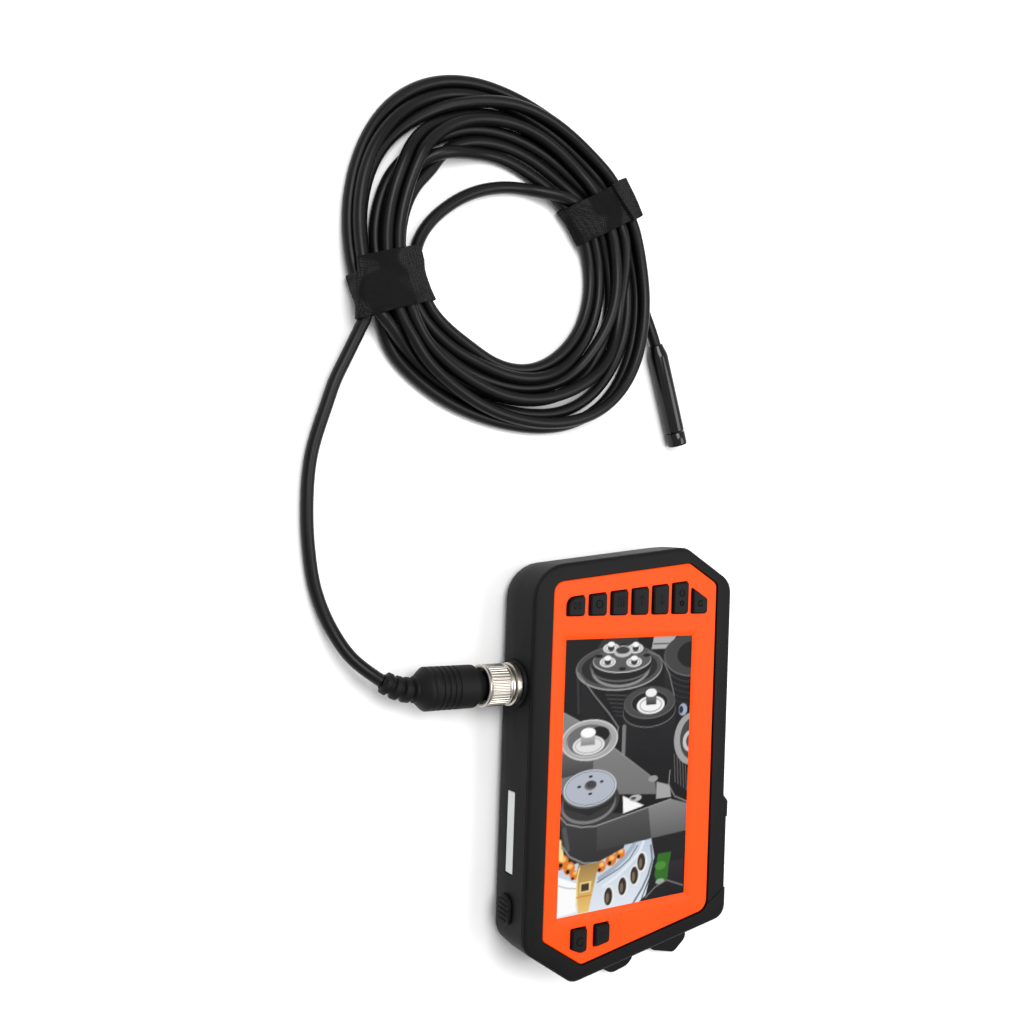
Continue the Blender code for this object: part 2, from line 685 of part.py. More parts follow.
def make_switch():
    half_long, half_wide = 0.0060, 0.0045
    oval = [
        (y, z, half_wide * 0.9)
        for y, z in (
            (-half_long, -half_wide), (half_long, -half_wide), (half_long, half_wide),
            (-half_long, half_wide),
        )
    ]
    levels = [(0.0, -GAP), (0.0, -0.0010), (0.0006, -0.0016)]
    knob = piece(
        "switch_knob",
        skin([[(x, y, z) for y, z in outline(oval, i)] for i, x in levels]),
        BLACK_RUBBER,
        location=(-CASE_SIDE, SWITCH_Y, SWITCH_Z),
    )
    stem = block((-0.0008, -0.0015, -0.0015), (0.0040, 0.0015, 0.0015))
    fuse(knob, "switch_stem", stem)
    body_low = (-CASE_SIDE + WALL + 2 * GAP + 0.0020, SWITCH_Y - 0.0040, SWITCH_Z - 0.0035)
    body = piece("switch_body", block(body_low, (-0.0405, SWITCH_Y + 0.0080, SWITCH_Z + 0.0035)), STEEL)
    channel = block(
        (-0.0500, SWITCH_Y - 0.0020, SWITCH_Z - 0.0020),
        (-0.0445, SWITCH_Y + 0.0020 + SWITCH_TRAVEL, SWITCH_Z + 0.0020),
    )
    cut(body, "switch_channel_cutter", channel)


def on_side(name, bm, finish):
    """A piece turned about the connector's axis, its height measured out from the case's side."""
    return piece(name, bm, finish, location=(-CASE_SIDE, AXIS_Y, AXIS_Z), rotation=(0, -math.pi / 2, 0))


def make_connector():
    on_side(
        "socket_washer",
        turned(
            [(SOCKET_HOLE, 0.0003), (0.0097, 0.0003), (0.0095, 0.0013), (SOCKET_HOLE, 0.0013)],
            hollow=True,
        ),
        BLACK_RUBBER,
    )
    shell = [
        (SOCKET_BORE, -0.0060), (SOCKET_RADIUS, -0.0060), (SOCKET_RADIUS, 0.0016), (0.0084, 0.0016),
        (0.0084, 0.0034), (0.0074, 0.0038), (SOCKET_RADIUS, 0.0038), (SOCKET_RADIUS, 0.0099),
        (SOCKET_BORE, 0.0099),
    ]
    on_side("socket_shell", turned(shell, hollow=True), NICKEL)
    insert = on_side("socket_insert", turned([(0.0044, -0.0055), (0.0044, 0.0010)]), GLOSS_BLACK)
    pins = [
        moved(turned([(0.0005, 0.0), (0.0005, 0.0070)], sides=8), (0.0020 * c, 0.0020 * s, 0))
        for c, s in ((1, 0), (0, 1), (-1, 0), (0, -1))
    ]
    fuse(insert, "socket_pins", together(pins))
    nut_low, nut_high = -WALL - GAP - 0.0026, -WALL - GAP
    flats, bore = hexagon(0.0150), circle(SOCKET_HOLE, 24)
    on_side(
        "socket_nut",
        skin(
            [
                at_height(bore, nut_low), at_height(flats, nut_low), at_height(flats, nut_high),
                at_height(bore, nut_high),
            ],
            hollow=True,
        ),
        STEEL,
    )
    coupling = [
        (SOCKET_HOLE, 0.0041), (0.0076, 0.0041), (NUT_RADIUS, 0.0048), (NUT_RADIUS, 0.0149), (0.0076, 0.0158),
        (0.0070, 0.0158), (0.0070, 0.0132), (0.0050, 0.0132), (0.0050, 0.0119), (SOCKET_HOLE, 0.0119),
    ]
    on_side("coupling_nut", turned(coupling, hollow=True), NICKEL)
    collar = [
        (0.0032, 0.0090), (0.0032, 0.0030), (0.0044, 0.0030), (0.0044, 0.0102), (0.0059, 0.0102),
        (0.0059, 0.0116), (0.0047, 0.0116), (0.0047, 0.0135), (0.0055, 0.0135), (0.0055, 0.0159),
    ]
    on_side("plug_collar", turned(collar), GLOSS_BLACK)
    body = [
        (0.0062, 0.0162), (0.0068, 0.0164), (PLUG_RADIUS, 0.0188), (PLUG_RADIUS, 0.0400), (0.0052, 0.0434)
    ]
    on_side("plug_body", turned(body), BLACK_RUBBER)


# ---- Cable ----
def make_cable():
    relief = smooth_route(RELIEF_ROUTE, 0.0022)
    widths = [1.0 - 0.22 * i / (len(relief) - 1) for i in range(len(relief))]
    tube("strain_relief", relief, 0.0051, BLACK_RUBBER, widths)
    spacing = 5 * CABLE_RADIUS
    for name, route in (
        ("cable_lead", LEAD_ROUTE), ("cable_inner_strand", STRAND_ROUTE), ("cable_tail", TAIL_ROUTE)
    ):
        tube(name, smooth_route(route, spacing), CABLE_RADIUS, BLACK_RUBBER)
    edge = CABLE_RADIUS
    profile = [
        (COIL_INNER + edge, COIL_LOW), (COIL_OUTER - edge, COIL_LOW), (COIL_OUTER, COIL_LOW + edge),
        (COIL_OUTER, COIL_HIGH - edge),
        (COIL_OUTER - edge, COIL_HIGH), (COIL_INNER + edge, COIL_HIGH), (COIL_INNER, COIL_HIGH - edge),
        (COIL_INNER, COIL_LOW + edge),
    ]
    piece("cable_coil", turned(profile, hollow=True, sides=48), BLACK_RUBBER, location=(*COIL_CENTRE, 0))


def make_straps():
    """Each strap is a flat band that goes once around the coil's bundle."""
    inside = [
        (COIL_OUTER + 0.0006, COIL_LOW - 0.0004),
        (COIL_OUTER + 0.0006, COIL_HIGH + 0.0004),
        (COIL_INNER - 0.0012, COIL_HIGH + 0.0004),
        (COIL_INNER - 0.0012, COIL_LOW - 0.0004),
    ]
    corners = [(r, z, 0.0030) for r, z in inside]
    for index, angle in enumerate(STRAP_ANGLES):
        rings = []
        for spread, side in ((0, -1), (STRAP_THICK, -1), (STRAP_THICK, 1), (0, 1)):
            rings.append([(r, side * STRAP_WIDTH / 2, z) for r, z in outline(corners, -spread)])
        piece(
            f"strap_{index + 1}",
            skin(rings, hollow=True),
            BLACK_RUBBER,
            location=(*COIL_CENTRE, 0),
            rotation=(0, 0, math.radians(angle)),
        )


def make_probe():
    rotation = (0, math.pi / 2, math.radians(PROBE_HEADING))
    parts = {
        "probe_housing": (
            turned(
                [
                    (0.0029, 0.0),
                    (0.0033, 0.0006),
                    (PROBE_RADIUS, 0.0042),
                    (PROBE_RADIUS, PROBE_CAP_FROM - GAP),
                ]
            ),
            GLOSS_BLACK,
        ),
        "probe_cap": (
            turned(
                [
                    (0.0036, PROBE_CAP_FROM),
                    (PROBE_RADIUS, PROBE_CAP_FROM),
                    (PROBE_RADIUS, PROBE_LENGTH - 0.0003),
                    (0.0039, PROBE_LENGTH),
                    (0.0036, PROBE_LENGTH),
                ],
                hollow=True,
            ),
            GLOSS_BLACK,
        ),
        "probe_light_ring": (
            turned([(0.0019, 0.0400), (0.0033, 0.0400), (0.0033, 0.0442), (0.0019, 0.0442)], hollow=True),
            NICKEL,
        ),
        "probe_lens": (turned([(0.0016, 0.0400), (0.0016, 0.0441), (0.0008, 0.0444)]), SCREEN_DARK),
    }
    for name, (bm, finish) in parts.items():
        piece(name, bm, finish, location=PROBE_START, rotation=rotation)


clear_scene()
CASE = bpy.data.objects.new("case_origin", None)
CASE.location = ORIGIN_SHIFT
bpy.context.scene.collection.objects.link(CASE)
for make in (
    make_rear_shell, make_front_frame, make_front_panel, make_keys, make_port_cover, make_stand, make_screws,
    make_display, make_boards, make_ports, make_light_strip, make_switch, make_connector,
    make_cable, make_straps, make_probe,
):
    make()
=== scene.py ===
"""Looks of the handheld inspection camera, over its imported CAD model.

Metres, in the frame of the CAD: the case lies on its back on z = 0, screen up, with the top of the
screen towards +Y and the connector on the -X side. The coiled cable lies on the same surface.
"""

import math

import bmesh
import bpy
import numpy as np
from mathutils import Euler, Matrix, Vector


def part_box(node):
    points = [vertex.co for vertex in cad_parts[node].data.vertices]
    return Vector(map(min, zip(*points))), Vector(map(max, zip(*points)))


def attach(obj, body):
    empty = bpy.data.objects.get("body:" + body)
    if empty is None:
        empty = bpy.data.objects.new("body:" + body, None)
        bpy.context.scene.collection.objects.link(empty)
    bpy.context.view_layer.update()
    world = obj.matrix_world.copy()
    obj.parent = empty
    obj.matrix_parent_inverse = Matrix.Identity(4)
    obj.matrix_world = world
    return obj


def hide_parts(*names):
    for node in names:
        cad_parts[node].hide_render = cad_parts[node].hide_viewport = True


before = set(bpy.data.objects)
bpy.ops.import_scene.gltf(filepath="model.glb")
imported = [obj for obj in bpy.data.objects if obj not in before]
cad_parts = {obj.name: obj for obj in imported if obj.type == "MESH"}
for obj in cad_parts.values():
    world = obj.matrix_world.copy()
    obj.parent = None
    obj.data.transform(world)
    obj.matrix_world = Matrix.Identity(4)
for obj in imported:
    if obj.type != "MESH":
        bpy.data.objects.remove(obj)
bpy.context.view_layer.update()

MM = 0.001
UP = Vector((0, 0, 1))


def new_object(name, data):
    """An object of this data, in the scene."""
    obj = bpy.data.objects.new(name, data)
    bpy.context.scene.collection.objects.link(obj)
    return obj


# ---- Materials ----
def new_material(name):
    made = bpy.data.materials.new(name)
    made.use_nodes = True
    return made, made.node_tree, made.node_tree.nodes["Principled BSDF"]


def add_node(tree, kind, inputs=None, **settings):
    node = tree.nodes.new(kind)
    for key, value in settings.items():
        setattr(node, key, value)
    for key, value in (inputs or {}).items():
        if isinstance(value, bpy.types.NodeSocket):
            tree.links.new(value, node.inputs[key])
        else:
            node.inputs[key].default_value = value
    return node


def place(tree):
    """Where a point is on the piece, in metres."""
    return add_node(tree, "ShaderNodeTexCoord").outputs["Object"]


def noise(tree, scale, detail):
    made = add_node(tree, "ShaderNodeTexNoise", {"Vector": place(tree), "Scale": scale, "Detail": detail})
    return made.outputs["Fac"]


def ranged(tree, value, low, high, out_low, out_high):
    """A value from low to high, stretched to run from out_low to out_high."""
    made = add_node(tree, "ShaderNodeMapRange", {0: value, 1: low, 2: high, 3: out_low, 4: out_high})
    return made.outputs[0]


def mixed(tree, share, first, second):
    """From the first colour to the second, by share."""
    made = add_node(tree, "ShaderNodeMix", {"Factor": share}, data_type="RGBA")
    made.inputs[6].default_value = (*first, 1.0)
    made.inputs[7].default_value = (*second, 1.0)
    return made.outputs[2]


def bumped(tree, shader, height, strength, depth):
    made = add_node(tree, "ShaderNodeBump", {"Height": height, "Strength": strength, "Distance": depth})
    tree.links.new(made.outputs["Normal"], shader.inputs["Normal"])


def moulded(
    name, colour, roughness, grain=3500.0, depth=0.00002, strength=0.35, lighter=1.35, metallic=0.0,
    spread=0.08, specular=0.5,
):
    """Moulded plastic, rubber or metal: a fine grain, with slow changes of tone and gloss over it."""
    made, tree, shader = new_material(name)
    slow = noise(tree, 45.0, 3.0)
    shader.inputs["Metallic"].default_value = metallic
    shader.inputs["Specular IOR Level"].default_value = specular
    bright = tuple(min(1.0, c * lighter) for c in colour)
    tone = mixed(tree, ranged(tree, slow, 0.35, 0.65, 0.0, 1.0), colour, bright)
    tree.links.new(tone, shader.inputs["Base Color"])
    rough = ranged(tree, slow, 0.3, 0.7, roughness - spread / 2, roughness + spread / 2)
    tree.links.new(rough, shader.inputs["Roughness"])
    bumped(tree, shader, noise(tree, grain, 2.0), strength, depth)
    return made


def paint(name, material):
    """Gives a CAD node this material."""
    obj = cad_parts[name]
    obj.data.materials.clear()
    obj.data.materials.append(material)


# ---- Meshes ----
def piece_of(bm, name, material, body, slot, *stands_for, sharp=32):
    """A new piece that rides on a body, smooth except at its edges."""
    mesh = bpy.data.meshes.new(name)
    bm.to_mesh(mesh)
    bm.free()
    mesh.shade_smooth()
    mesh.set_sharp_from_angle(angle=math.radians(sharp))
    mesh.materials.append(material)
    obj = new_object(name, mesh)
    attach(obj, body)
    if stands_for:
        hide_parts(*stands_for)
    return obj


def skin(rings, bm=None, hollow=False):
    """Faces over rings of points. The end rings are capped, or joined if the body is hollow."""
    bm = bm or bmesh.new()
    loops = [[bm.verts.new(point) for point in ring] for ring in rings]
    pairs = list(zip(loops, loops[1:]))
    if hollow:
        pairs.append((loops[-1], loops[0]))
    else:
        bm.faces.new(loops[0])
        bm.faces.new(loops[-1])
    for first, second in pairs:
        for i in range(len(first)):
            j = (i + 1) % len(first)
            bm.faces.new((first[i], first[j], second[j], second[i]))
    bmesh.ops.recalc_face_normals(bm, faces=bm.faces[:])
    return bm


def turned(profile, origin, direction, sides=64, hollow=False, ridges=None):
    """A body turned about a line, from its profile of radius and height along the line.

    ridges(i, step) gives how far side i stands out at each step of the profile.
    """
    along = Vector(direction).normalized()
    side = along.orthogonal().normalized()
    other = along.cross(side)
    rings = []
    for step, (radius, height) in enumerate(profile):
        ring = []
        for i in range(sides):
            angle = 2 * math.pi * i / sides
            reach = radius + (ridges(i, step) if ridges else 0.0)
            spoke = side * math.cos(angle) + other * math.sin(angle)
            ring.append(Vector(origin) + along * height + spoke * reach)
        rings.append(ring)
    return skin(rings, hollow=hollow)


# ---- Camera, floor and light ----
def make_stage():
    """The camera where the photograph was taken from, a white world, a pale floor and two soft lamps."""
    view = bpy.data.cameras.new("camera")
    view.lens = 36.56
    view.sensor_width = 36.0
    view.clip_start = 0.01
    camera = new_object("camera", view)
    camera.location = (-0.26485, 0.0987, 0.3550)
    camera.rotation_euler = Euler([math.radians(a) for a in (-0.629, -32.06, 2.36)])
    bpy.context.scene.camera = camera
    bpy.context.scene.view_settings.view_transform = "Standard"

    world = bpy.data.worlds.new("studio")
    world.use_nodes = True
    world.node_tree.nodes["Background"].inputs["Color"].default_value = (1.0, 1.0, 1.0, 1.0)
    world.node_tree.nodes["Background"].inputs["Strength"].default_value = 0.6
    bpy.context.scene.world = world

    material, _, shader = new_material("floor_white")
    shader.inputs["Base Color"].default_value = (0.93, 0.93, 0.93, 1.0)
    shader.inputs["Roughness"].default_value = 0.9
    shader.inputs["Specular IOR Level"].default_value = 0.1
    mesh = bpy.data.meshes.new("floor")
    reach, level = 3.0, -0.0001
    mesh.from_pydata(
        [(-reach, -reach, level), (reach, -reach, level), (reach, reach, level), (-reach, reach, level)],
        [],
        [(0, 1, 2, 3)],
    )
    mesh.materials.append(material)
    floor = new_object("floor", mesh)

    aim = Vector((-0.03, 0.1, 0.0))
    for name, spot, size, power in (
        ("key_light", (-0.25, 0.45, 0.95), 0.55, 8.0),
        ("fill_light", (0.50, 0.05, 0.90), 0.6, 5.0),
    ):
        lamp = bpy.data.lights.new(name, "AREA")
        lamp.shape = "SQUARE"
        lamp.size = size
        lamp.energy = power
        obj = new_object(name, lamp)
        obj.location = spot
        obj.rotation_euler = (aim - Vector(spot)).to_track_quat("-Z", "Y").to_euler()


# ---- Cable ----
# In mm and degrees. The cable runs clockwise round the coil, from strap 1's side.
CABLE = 4.8
ROUTE_STEP = 2.6
COIL_AT = (-53.25, 201.6)
COIL_STEP = 3
FIRST_ANGLE = 200
COIL_FROM, COIL_TO = -21, 3087
# The radius of each turn about the coil's middle, at these angles, as it lies in the photograph.
TURN_ANGLES = (200, 175, 150, 125, 100, 77, 55, 31, 5, -20, -40, -60, -80, -110, -135)
TURNS = (
    (62.0, 63.0, 67.8, 68.8, 64.0, 59.4, 60.0, 61.4, 67.0, 71.5, 75.0, 71.0, 63.4, 60.6, 60.6),
    (59.2, 60.8, 63.8, 62.5, 62.0, 62.0, 62.6, 63.9, 67.4, 72.2, 75.6, 69.8, 62.8, 55.6, 54.8),
    (53.8, 50.2, 54.2, 57.2, 57.6, 57.0, 57.2, 58.4, 60.0, 60.2, 60.2, 57.4, 54.4, 49.6, 49.2),
    (48.6, 46.6, 48.8, 54.0, 55.6, 54.6, 53.0, 52.2, 54.0, 54.8, 55.2, 52.4, 49.5, 43.8, 44.4),
    (51.0, 49.4, 49.6, 45.8, 42.6, 38.9, 38.6, 42.6, 43.5, 44.5, 46.5, 46.3, 43.2, 38.9, 39.6),
    (41.6, 36.8, 30.8, 28.6, 28.8, 31.6, 37.2, 45.2, 48.2, 48.6, 49.2, 47.4, 44.6, 41.0, 41.6),
    (46.2, 44.6, 46.2, 47.4, 47.2, 45.2, 44.6, 48.6, 53.0, 57.0, 57.8, 59.0, 53.4, 51.0, 51.2),
    (56.4, 54.6, 55.6, 52.6, 50.6, 50.2, 50.6, 55.0, 62.2, 66.3, 67.3, 66.0, 58.3, 55.8, 56.6),
    (62.0, 64.5, 68.7, 70.6, 68.0, 63.6, 63.4, 66.4),
)
# How far round, and the radius, where the lead comes in and where the tail goes out.
COIL_ENTRY = ((-21.6, 95.7), (-18.2, 87.5), (-14.3, 78.0), (-11.2, 72.2), (-8, 67.6), (-4, 63.9))
COIL_EXIT = ((3064, 69.6), (3077.2, 72.6), (3084.3, 73.6), (3090.5, 76.3), (3096.4, 81.8))
# The turns from the surface up, where they lie on each other. -1 is the lead.
PILE = (8, 0, -1, 7, 6, 4, 5, 2, 3, 1)
# The turns are free to shift between these places, and get so over this many degrees.
LOOSE_FROM, LOOSE_TO, LOOSE_OVER = -4, 3090, 22
STRAP_ANGLES = (200.0, 31.4)
# A strap lifts the turns over its lower side, and holds them below a height, within some degrees of it.
STRAP_LIFT, STRAP_LIFT_WITHIN, STRAP_LIFT_OVER = 1.75, 22, 12
STRAP_CEILING, STRAP_HOLDS_WITHIN, OPEN_CEILING = 9.4, 10, 99.0
SETTLING_ROUNDS, EASING_ROUNDS = 340, 80
# From the end of the strain relief to the coil, and from the coil to the probe.
LEAD = (
    (-103.25, 40.2, 11.8),
    (-106.75, 42.6, 10.8),
    (-113.05, 48.0, 7.9),
    (-120.15, 58.6, 4.4),
    (-125.85, 72.1, 2.6),
    (-129.05, 87.6, 2.45),
    (-130.25, 102.5, 2.45),
    (-129.55, 119.1, 2.45),
)
TAIL = ((21.75, 187.7, 3.3), (24.6, 180.1, 4.25), (25.5, 177.5, 4.4))


def hermite(at, knots, values):
    """A smooth curve through values at knots, read at these places."""
    slopes = np.gradient(values, knots)
    index = np.clip(np.searchsorted(knots, at) - 1, 0, len(knots) - 2)
    span = knots[index + 1] - knots[index]
    t = (at - knots[index]) / span
    first = (2 * t**3 - 3 * t**2 + 1) * values[index] + (t**3 - 2 * t**2 + t) * span * slopes[index]
    return first + (3 * t**2 - 2 * t**3) * values[index + 1] + (t**3 - t**2) * span * slopes[index + 1]


def windowed(values, reach, how):
    """The mean or highest, by how, of the values within reach of each one."""
    padded = np.pad(values, reach, mode="edge")
    return how([padded[i : i + len(values)] for i in range(2 * reach + 1)], axis=0)


def degrees_off(angle, middle):
    """How far an angle is from the middle of a strap, either way round."""
    return np.abs((angle - middle + 180) % 360 - 180)


def laid_down(wanted, turn, column, floor):
    """Height of the cable where each turn, in the order of the pile, is laid on those already down."""
    height = floor.copy()
    placed = []
    for number in PILE:
        mine = np.flatnonzero(turn == number)
        for i in mine:
            for j in placed:
                if column[j] == column[i]:
                    gap = abs(wanted[i] - wanted[j])
                    if gap < CABLE:
                        height[i] = max(height[i], height[j] + math.sqrt(CABLE**2 - gap**2))
        smooth = windowed(windowed(height[mine], 2, np.max), 3, np.mean)
        height[mine] = np.maximum(smooth, floor[mine])
        placed += list(mine)
    return height


def pushes(radius, height, per_turn):
    """How far each place is pushed out and up by the turns beside it that it overlaps."""
    push_r, push_z = np.zeros_like(radius), np.zeros_like(radius)
    for turns_apart in range(1, len(TURNS) + 1):
        shift = per_turn * turns_apart
        if shift >= len(radius):
            break
        dr = radius[shift:] - radius[:-shift]
        dz = height[shift:] - height[:-shift]
        apart = np.sqrt(dr**2 + dz**2) + 1e-6
        overlap = np.where(apart < CABLE + 0.05, CABLE + 0.05 - apart, 0.0) * 0.45
        push_r[shift:] += overlap * dr / apart
        push_r[:-shift] -= overlap * dr / apart
        push_z[shift:] += overlap * dz / apart
        push_z[:-shift] -= overlap * dz / apart
    return push_r, push_z


def coil_route():
    """Angle, radius and height of the cable along the coil, every few degrees, with its turns piled up."""
    knots = list(COIL_ENTRY)
    for number, radii in enumerate(TURNS):
        knots += [(360 * number + FIRST_ANGLE - a, r) for a, r in zip(TURN_ANGLES, radii)]
    knots = np.array(knots + list(COIL_EXIT))
    swept = np.arange(COIL_FROM, COIL_TO + 1, COIL_STEP).astype(float)
    exact = hermite(swept, knots[:, 0], knots[:, 1])
    # The ends hold to their line. The turns between them may shift as they settle.
    loose = np.clip(np.minimum(swept - LOOSE_FROM, LOOSE_TO - swept) / LOOSE_OVER, 0, 1)
    wanted = exact + loose * (windowed(exact, 2, np.mean) - exact)
    angle = FIRST_ANGLE - swept
    floor = np.full(len(swept), CABLE / 2 + 0.03)
    strapped = np.zeros(len(swept), bool)
    for strap in STRAP_ANGLES:
        off = degrees_off(angle, strap)
        ramp = np.clip((STRAP_LIFT_WITHIN - off) / STRAP_LIFT_OVER, 0, 1)
        floor += STRAP_LIFT * ramp**2 * (3 - 2 * ramp)
        strapped |= off < STRAP_HOLDS_WITHIN
    ceiling = np.where(strapped, STRAP_CEILING, OPEN_CEILING)
    per_turn = 360 // COIL_STEP
    turn = np.floor(swept / 360).astype(int)
    column = (np.round(swept / COIL_STEP).astype(int)) % per_turn
    radius, height = wanted.copy(), laid_down(wanted, turn, column, floor)
    # The turns push each other apart. At first they also sink and are drawn back to their line.
    for round_number in range(SETTLING_ROUNDS + EASING_ROUNDS):
        settling = round_number < SETTLING_ROUNDS
        push_r, push_z = pushes(radius, height, per_turn)
        radius += np.where(strapped, 0.9, 0.6) * push_r * loose
        height += push_z
        if settling:
            height -= 0.05
            radius += 0.03 * loose * (wanted - radius)
        ease = 0.5 if settling else 0.12
        radius += ease * loose * (windowed(radius, 1, np.mean) - radius)
        height += ease * (windowed(height, 1, np.mean) - height)
        height = np.clip(height, floor, ceiling)
    return angle, radius, height


def resampled(points, spacing):
    """Evenly spaced points along a smooth curve through these."""
    points = np.array(points, float)
    lengths = np.concatenate([[0], np.cumsum(np.linalg.norm(np.diff(points, axis=0), axis=1))])
    fine = np.linspace(0, lengths[-1], int(lengths[-1] * 4))
    curve = np.stack([hermite(fine, lengths, points[:, i]) for i in range(3)], axis=1)
    lengths = np.concatenate([[0], np.cumsum(np.linalg.norm(np.diff(curve, axis=0), axis=1))])
    even = np.linspace(0, lengths[-1], int(round(lengths[-1] / spacing)) + 1)
    return np.stack([np.interp(even, lengths, curve[:, i]) for i in range(3)], axis=1), lengths[-1]


def coil_points():
    """The coil's points in mm."""
    angle, radius, height = coil_route()
    spin = np.radians(angle)
    return np.stack([COIL_AT[0] + radius * np.cos(spin), COIL_AT[1] + radius * np.sin(spin), height], axis=1)


def make_cable(material):
    """The whole cable as one curve. Gives the curve, its points in mm and its length in metres."""
    points, length = resampled([*LEAD, *coil_points(), *TAIL], ROUTE_STEP)
    curve = bpy.data.curves.new("probe_cable", "CURVE")
    curve.dimensions = "3D"
    curve.bevel_depth = CABLE / 2 * MM
    curve.bevel_resolution = 4
    curve.use_fill_caps = True
    spline = curve.splines.new("POLY")
    spline.points.add(len(points) - 1)
    for point, (x, y, z) in zip(spline.points, points * MM):
        point.co = (x, y, z, 1.0)
    curve.materials.append(material)
    cable = new_object("probe_cable", curve)
    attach(cable, "case")
    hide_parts("cable_lead", "cable_inner_strand", "cable_tail", "cable_coil")
    return cable, points, length * MM


# ---- Straps ----
# In mm and degrees. A strap is worked out at stations across its width and at turns round it.
STRAP_HALF = 8.0
STRAP_THICK = 1.1
STRAP_STATIONS = 9
STATION_REACH = 2.2
CLEAR_OF_MIDDLE = 20
STRAP_STEP = 3.0
STRAP_TURNS = np.arange(0, 360, STRAP_STEP)
# Each strap's angle, the widest turn that it holds, and its second layer: how far round it starts and
# ends, how far it lies along the cable, how proud it lies and how thick it is.
STRAPS = (
    ("strap_1", STRAP_ANGLES[0], 69.5, (48, 150, -5.4, 0.1, 0.9)),
    ("strap_2", STRAP_ANGLES[1], 76.0, (-60, 87, 0.0, 1.25, 1.5)),
)


def band_outline(points, middle, spin, along, widest):
    """The tight line around the turns at one place along a strap: its reach in each direction, in mm."""
    outward = np.array([math.cos(spin), math.sin(spin), 0.0])
    sideways = np.array([-math.sin(spin), math.cos(spin), 0.0])
    from_middle = points - np.array([*middle, 0.0])
    reach, shift = from_middle @ outward, from_middle @ sideways
    near = (np.abs(shift - along) < STATION_REACH) & (reach > CLEAR_OF_MIDDLE) & (reach < widest)
    turn = np.radians(STRAP_TURNS)
    spread = np.outer(np.cos(turn), reach[near]) + np.outer(np.sin(turn), points[near, 2])
    return spread.max(axis=1) + CABLE / 2 + 0.1


def hooked_tape():
    """Black hook-and-loop tape: rows of small hooks in bands, with soft fleece between, painted darker than
    the hook tops as shade between the hooks.
    """
    material, tree, shader = new_material("strap_fabric")
    cells = add_node(
        tree,
        "ShaderNodeTexVoronoi",
        {"Vector": place(tree), "Scale": 1100.0, "Randomness": 0.3},
        feature="F1",
    )
    patches = ranged(tree, noise(tree, 70.0, 1.0), 0.47, 0.53, 0.15, 1.0)
    fleece = noise(tree, 2600.0, 6.0)
    dots = ranged(tree, cells.outputs["Distance"], 0.1, 0.75, 1.0, 0.0)
    hooks = add_node(tree, "ShaderNodeMath", {0: dots, 1: patches}, operation="MULTIPLY").outputs[0]
    fuzz = ranged(tree, fleece, 0.2, 0.8, 0.0, 0.45)
    height = add_node(tree, "ShaderNodeMath", {0: hooks, 1: fuzz}, operation="ADD").outputs[0]
    # Painted shade between the hooks: the fleece and the fainter patches are near black, and the hook tops
    # are lighter.
    tone = mixed(tree, hooks, (0.0025, 0.0025, 0.0028), (0.026, 0.026, 0.027))
    tree.links.new(tone, shader.inputs["Base Color"])
    tree.links.new(ranged(tree, fleece, 0.2, 0.8, 0.75, 0.95), shader.inputs["Roughness"])
    shader.inputs["Specular IOR Level"].default_value = 0.12
    bumped(tree, shader, height, 0.7, 0.0003)
    return material


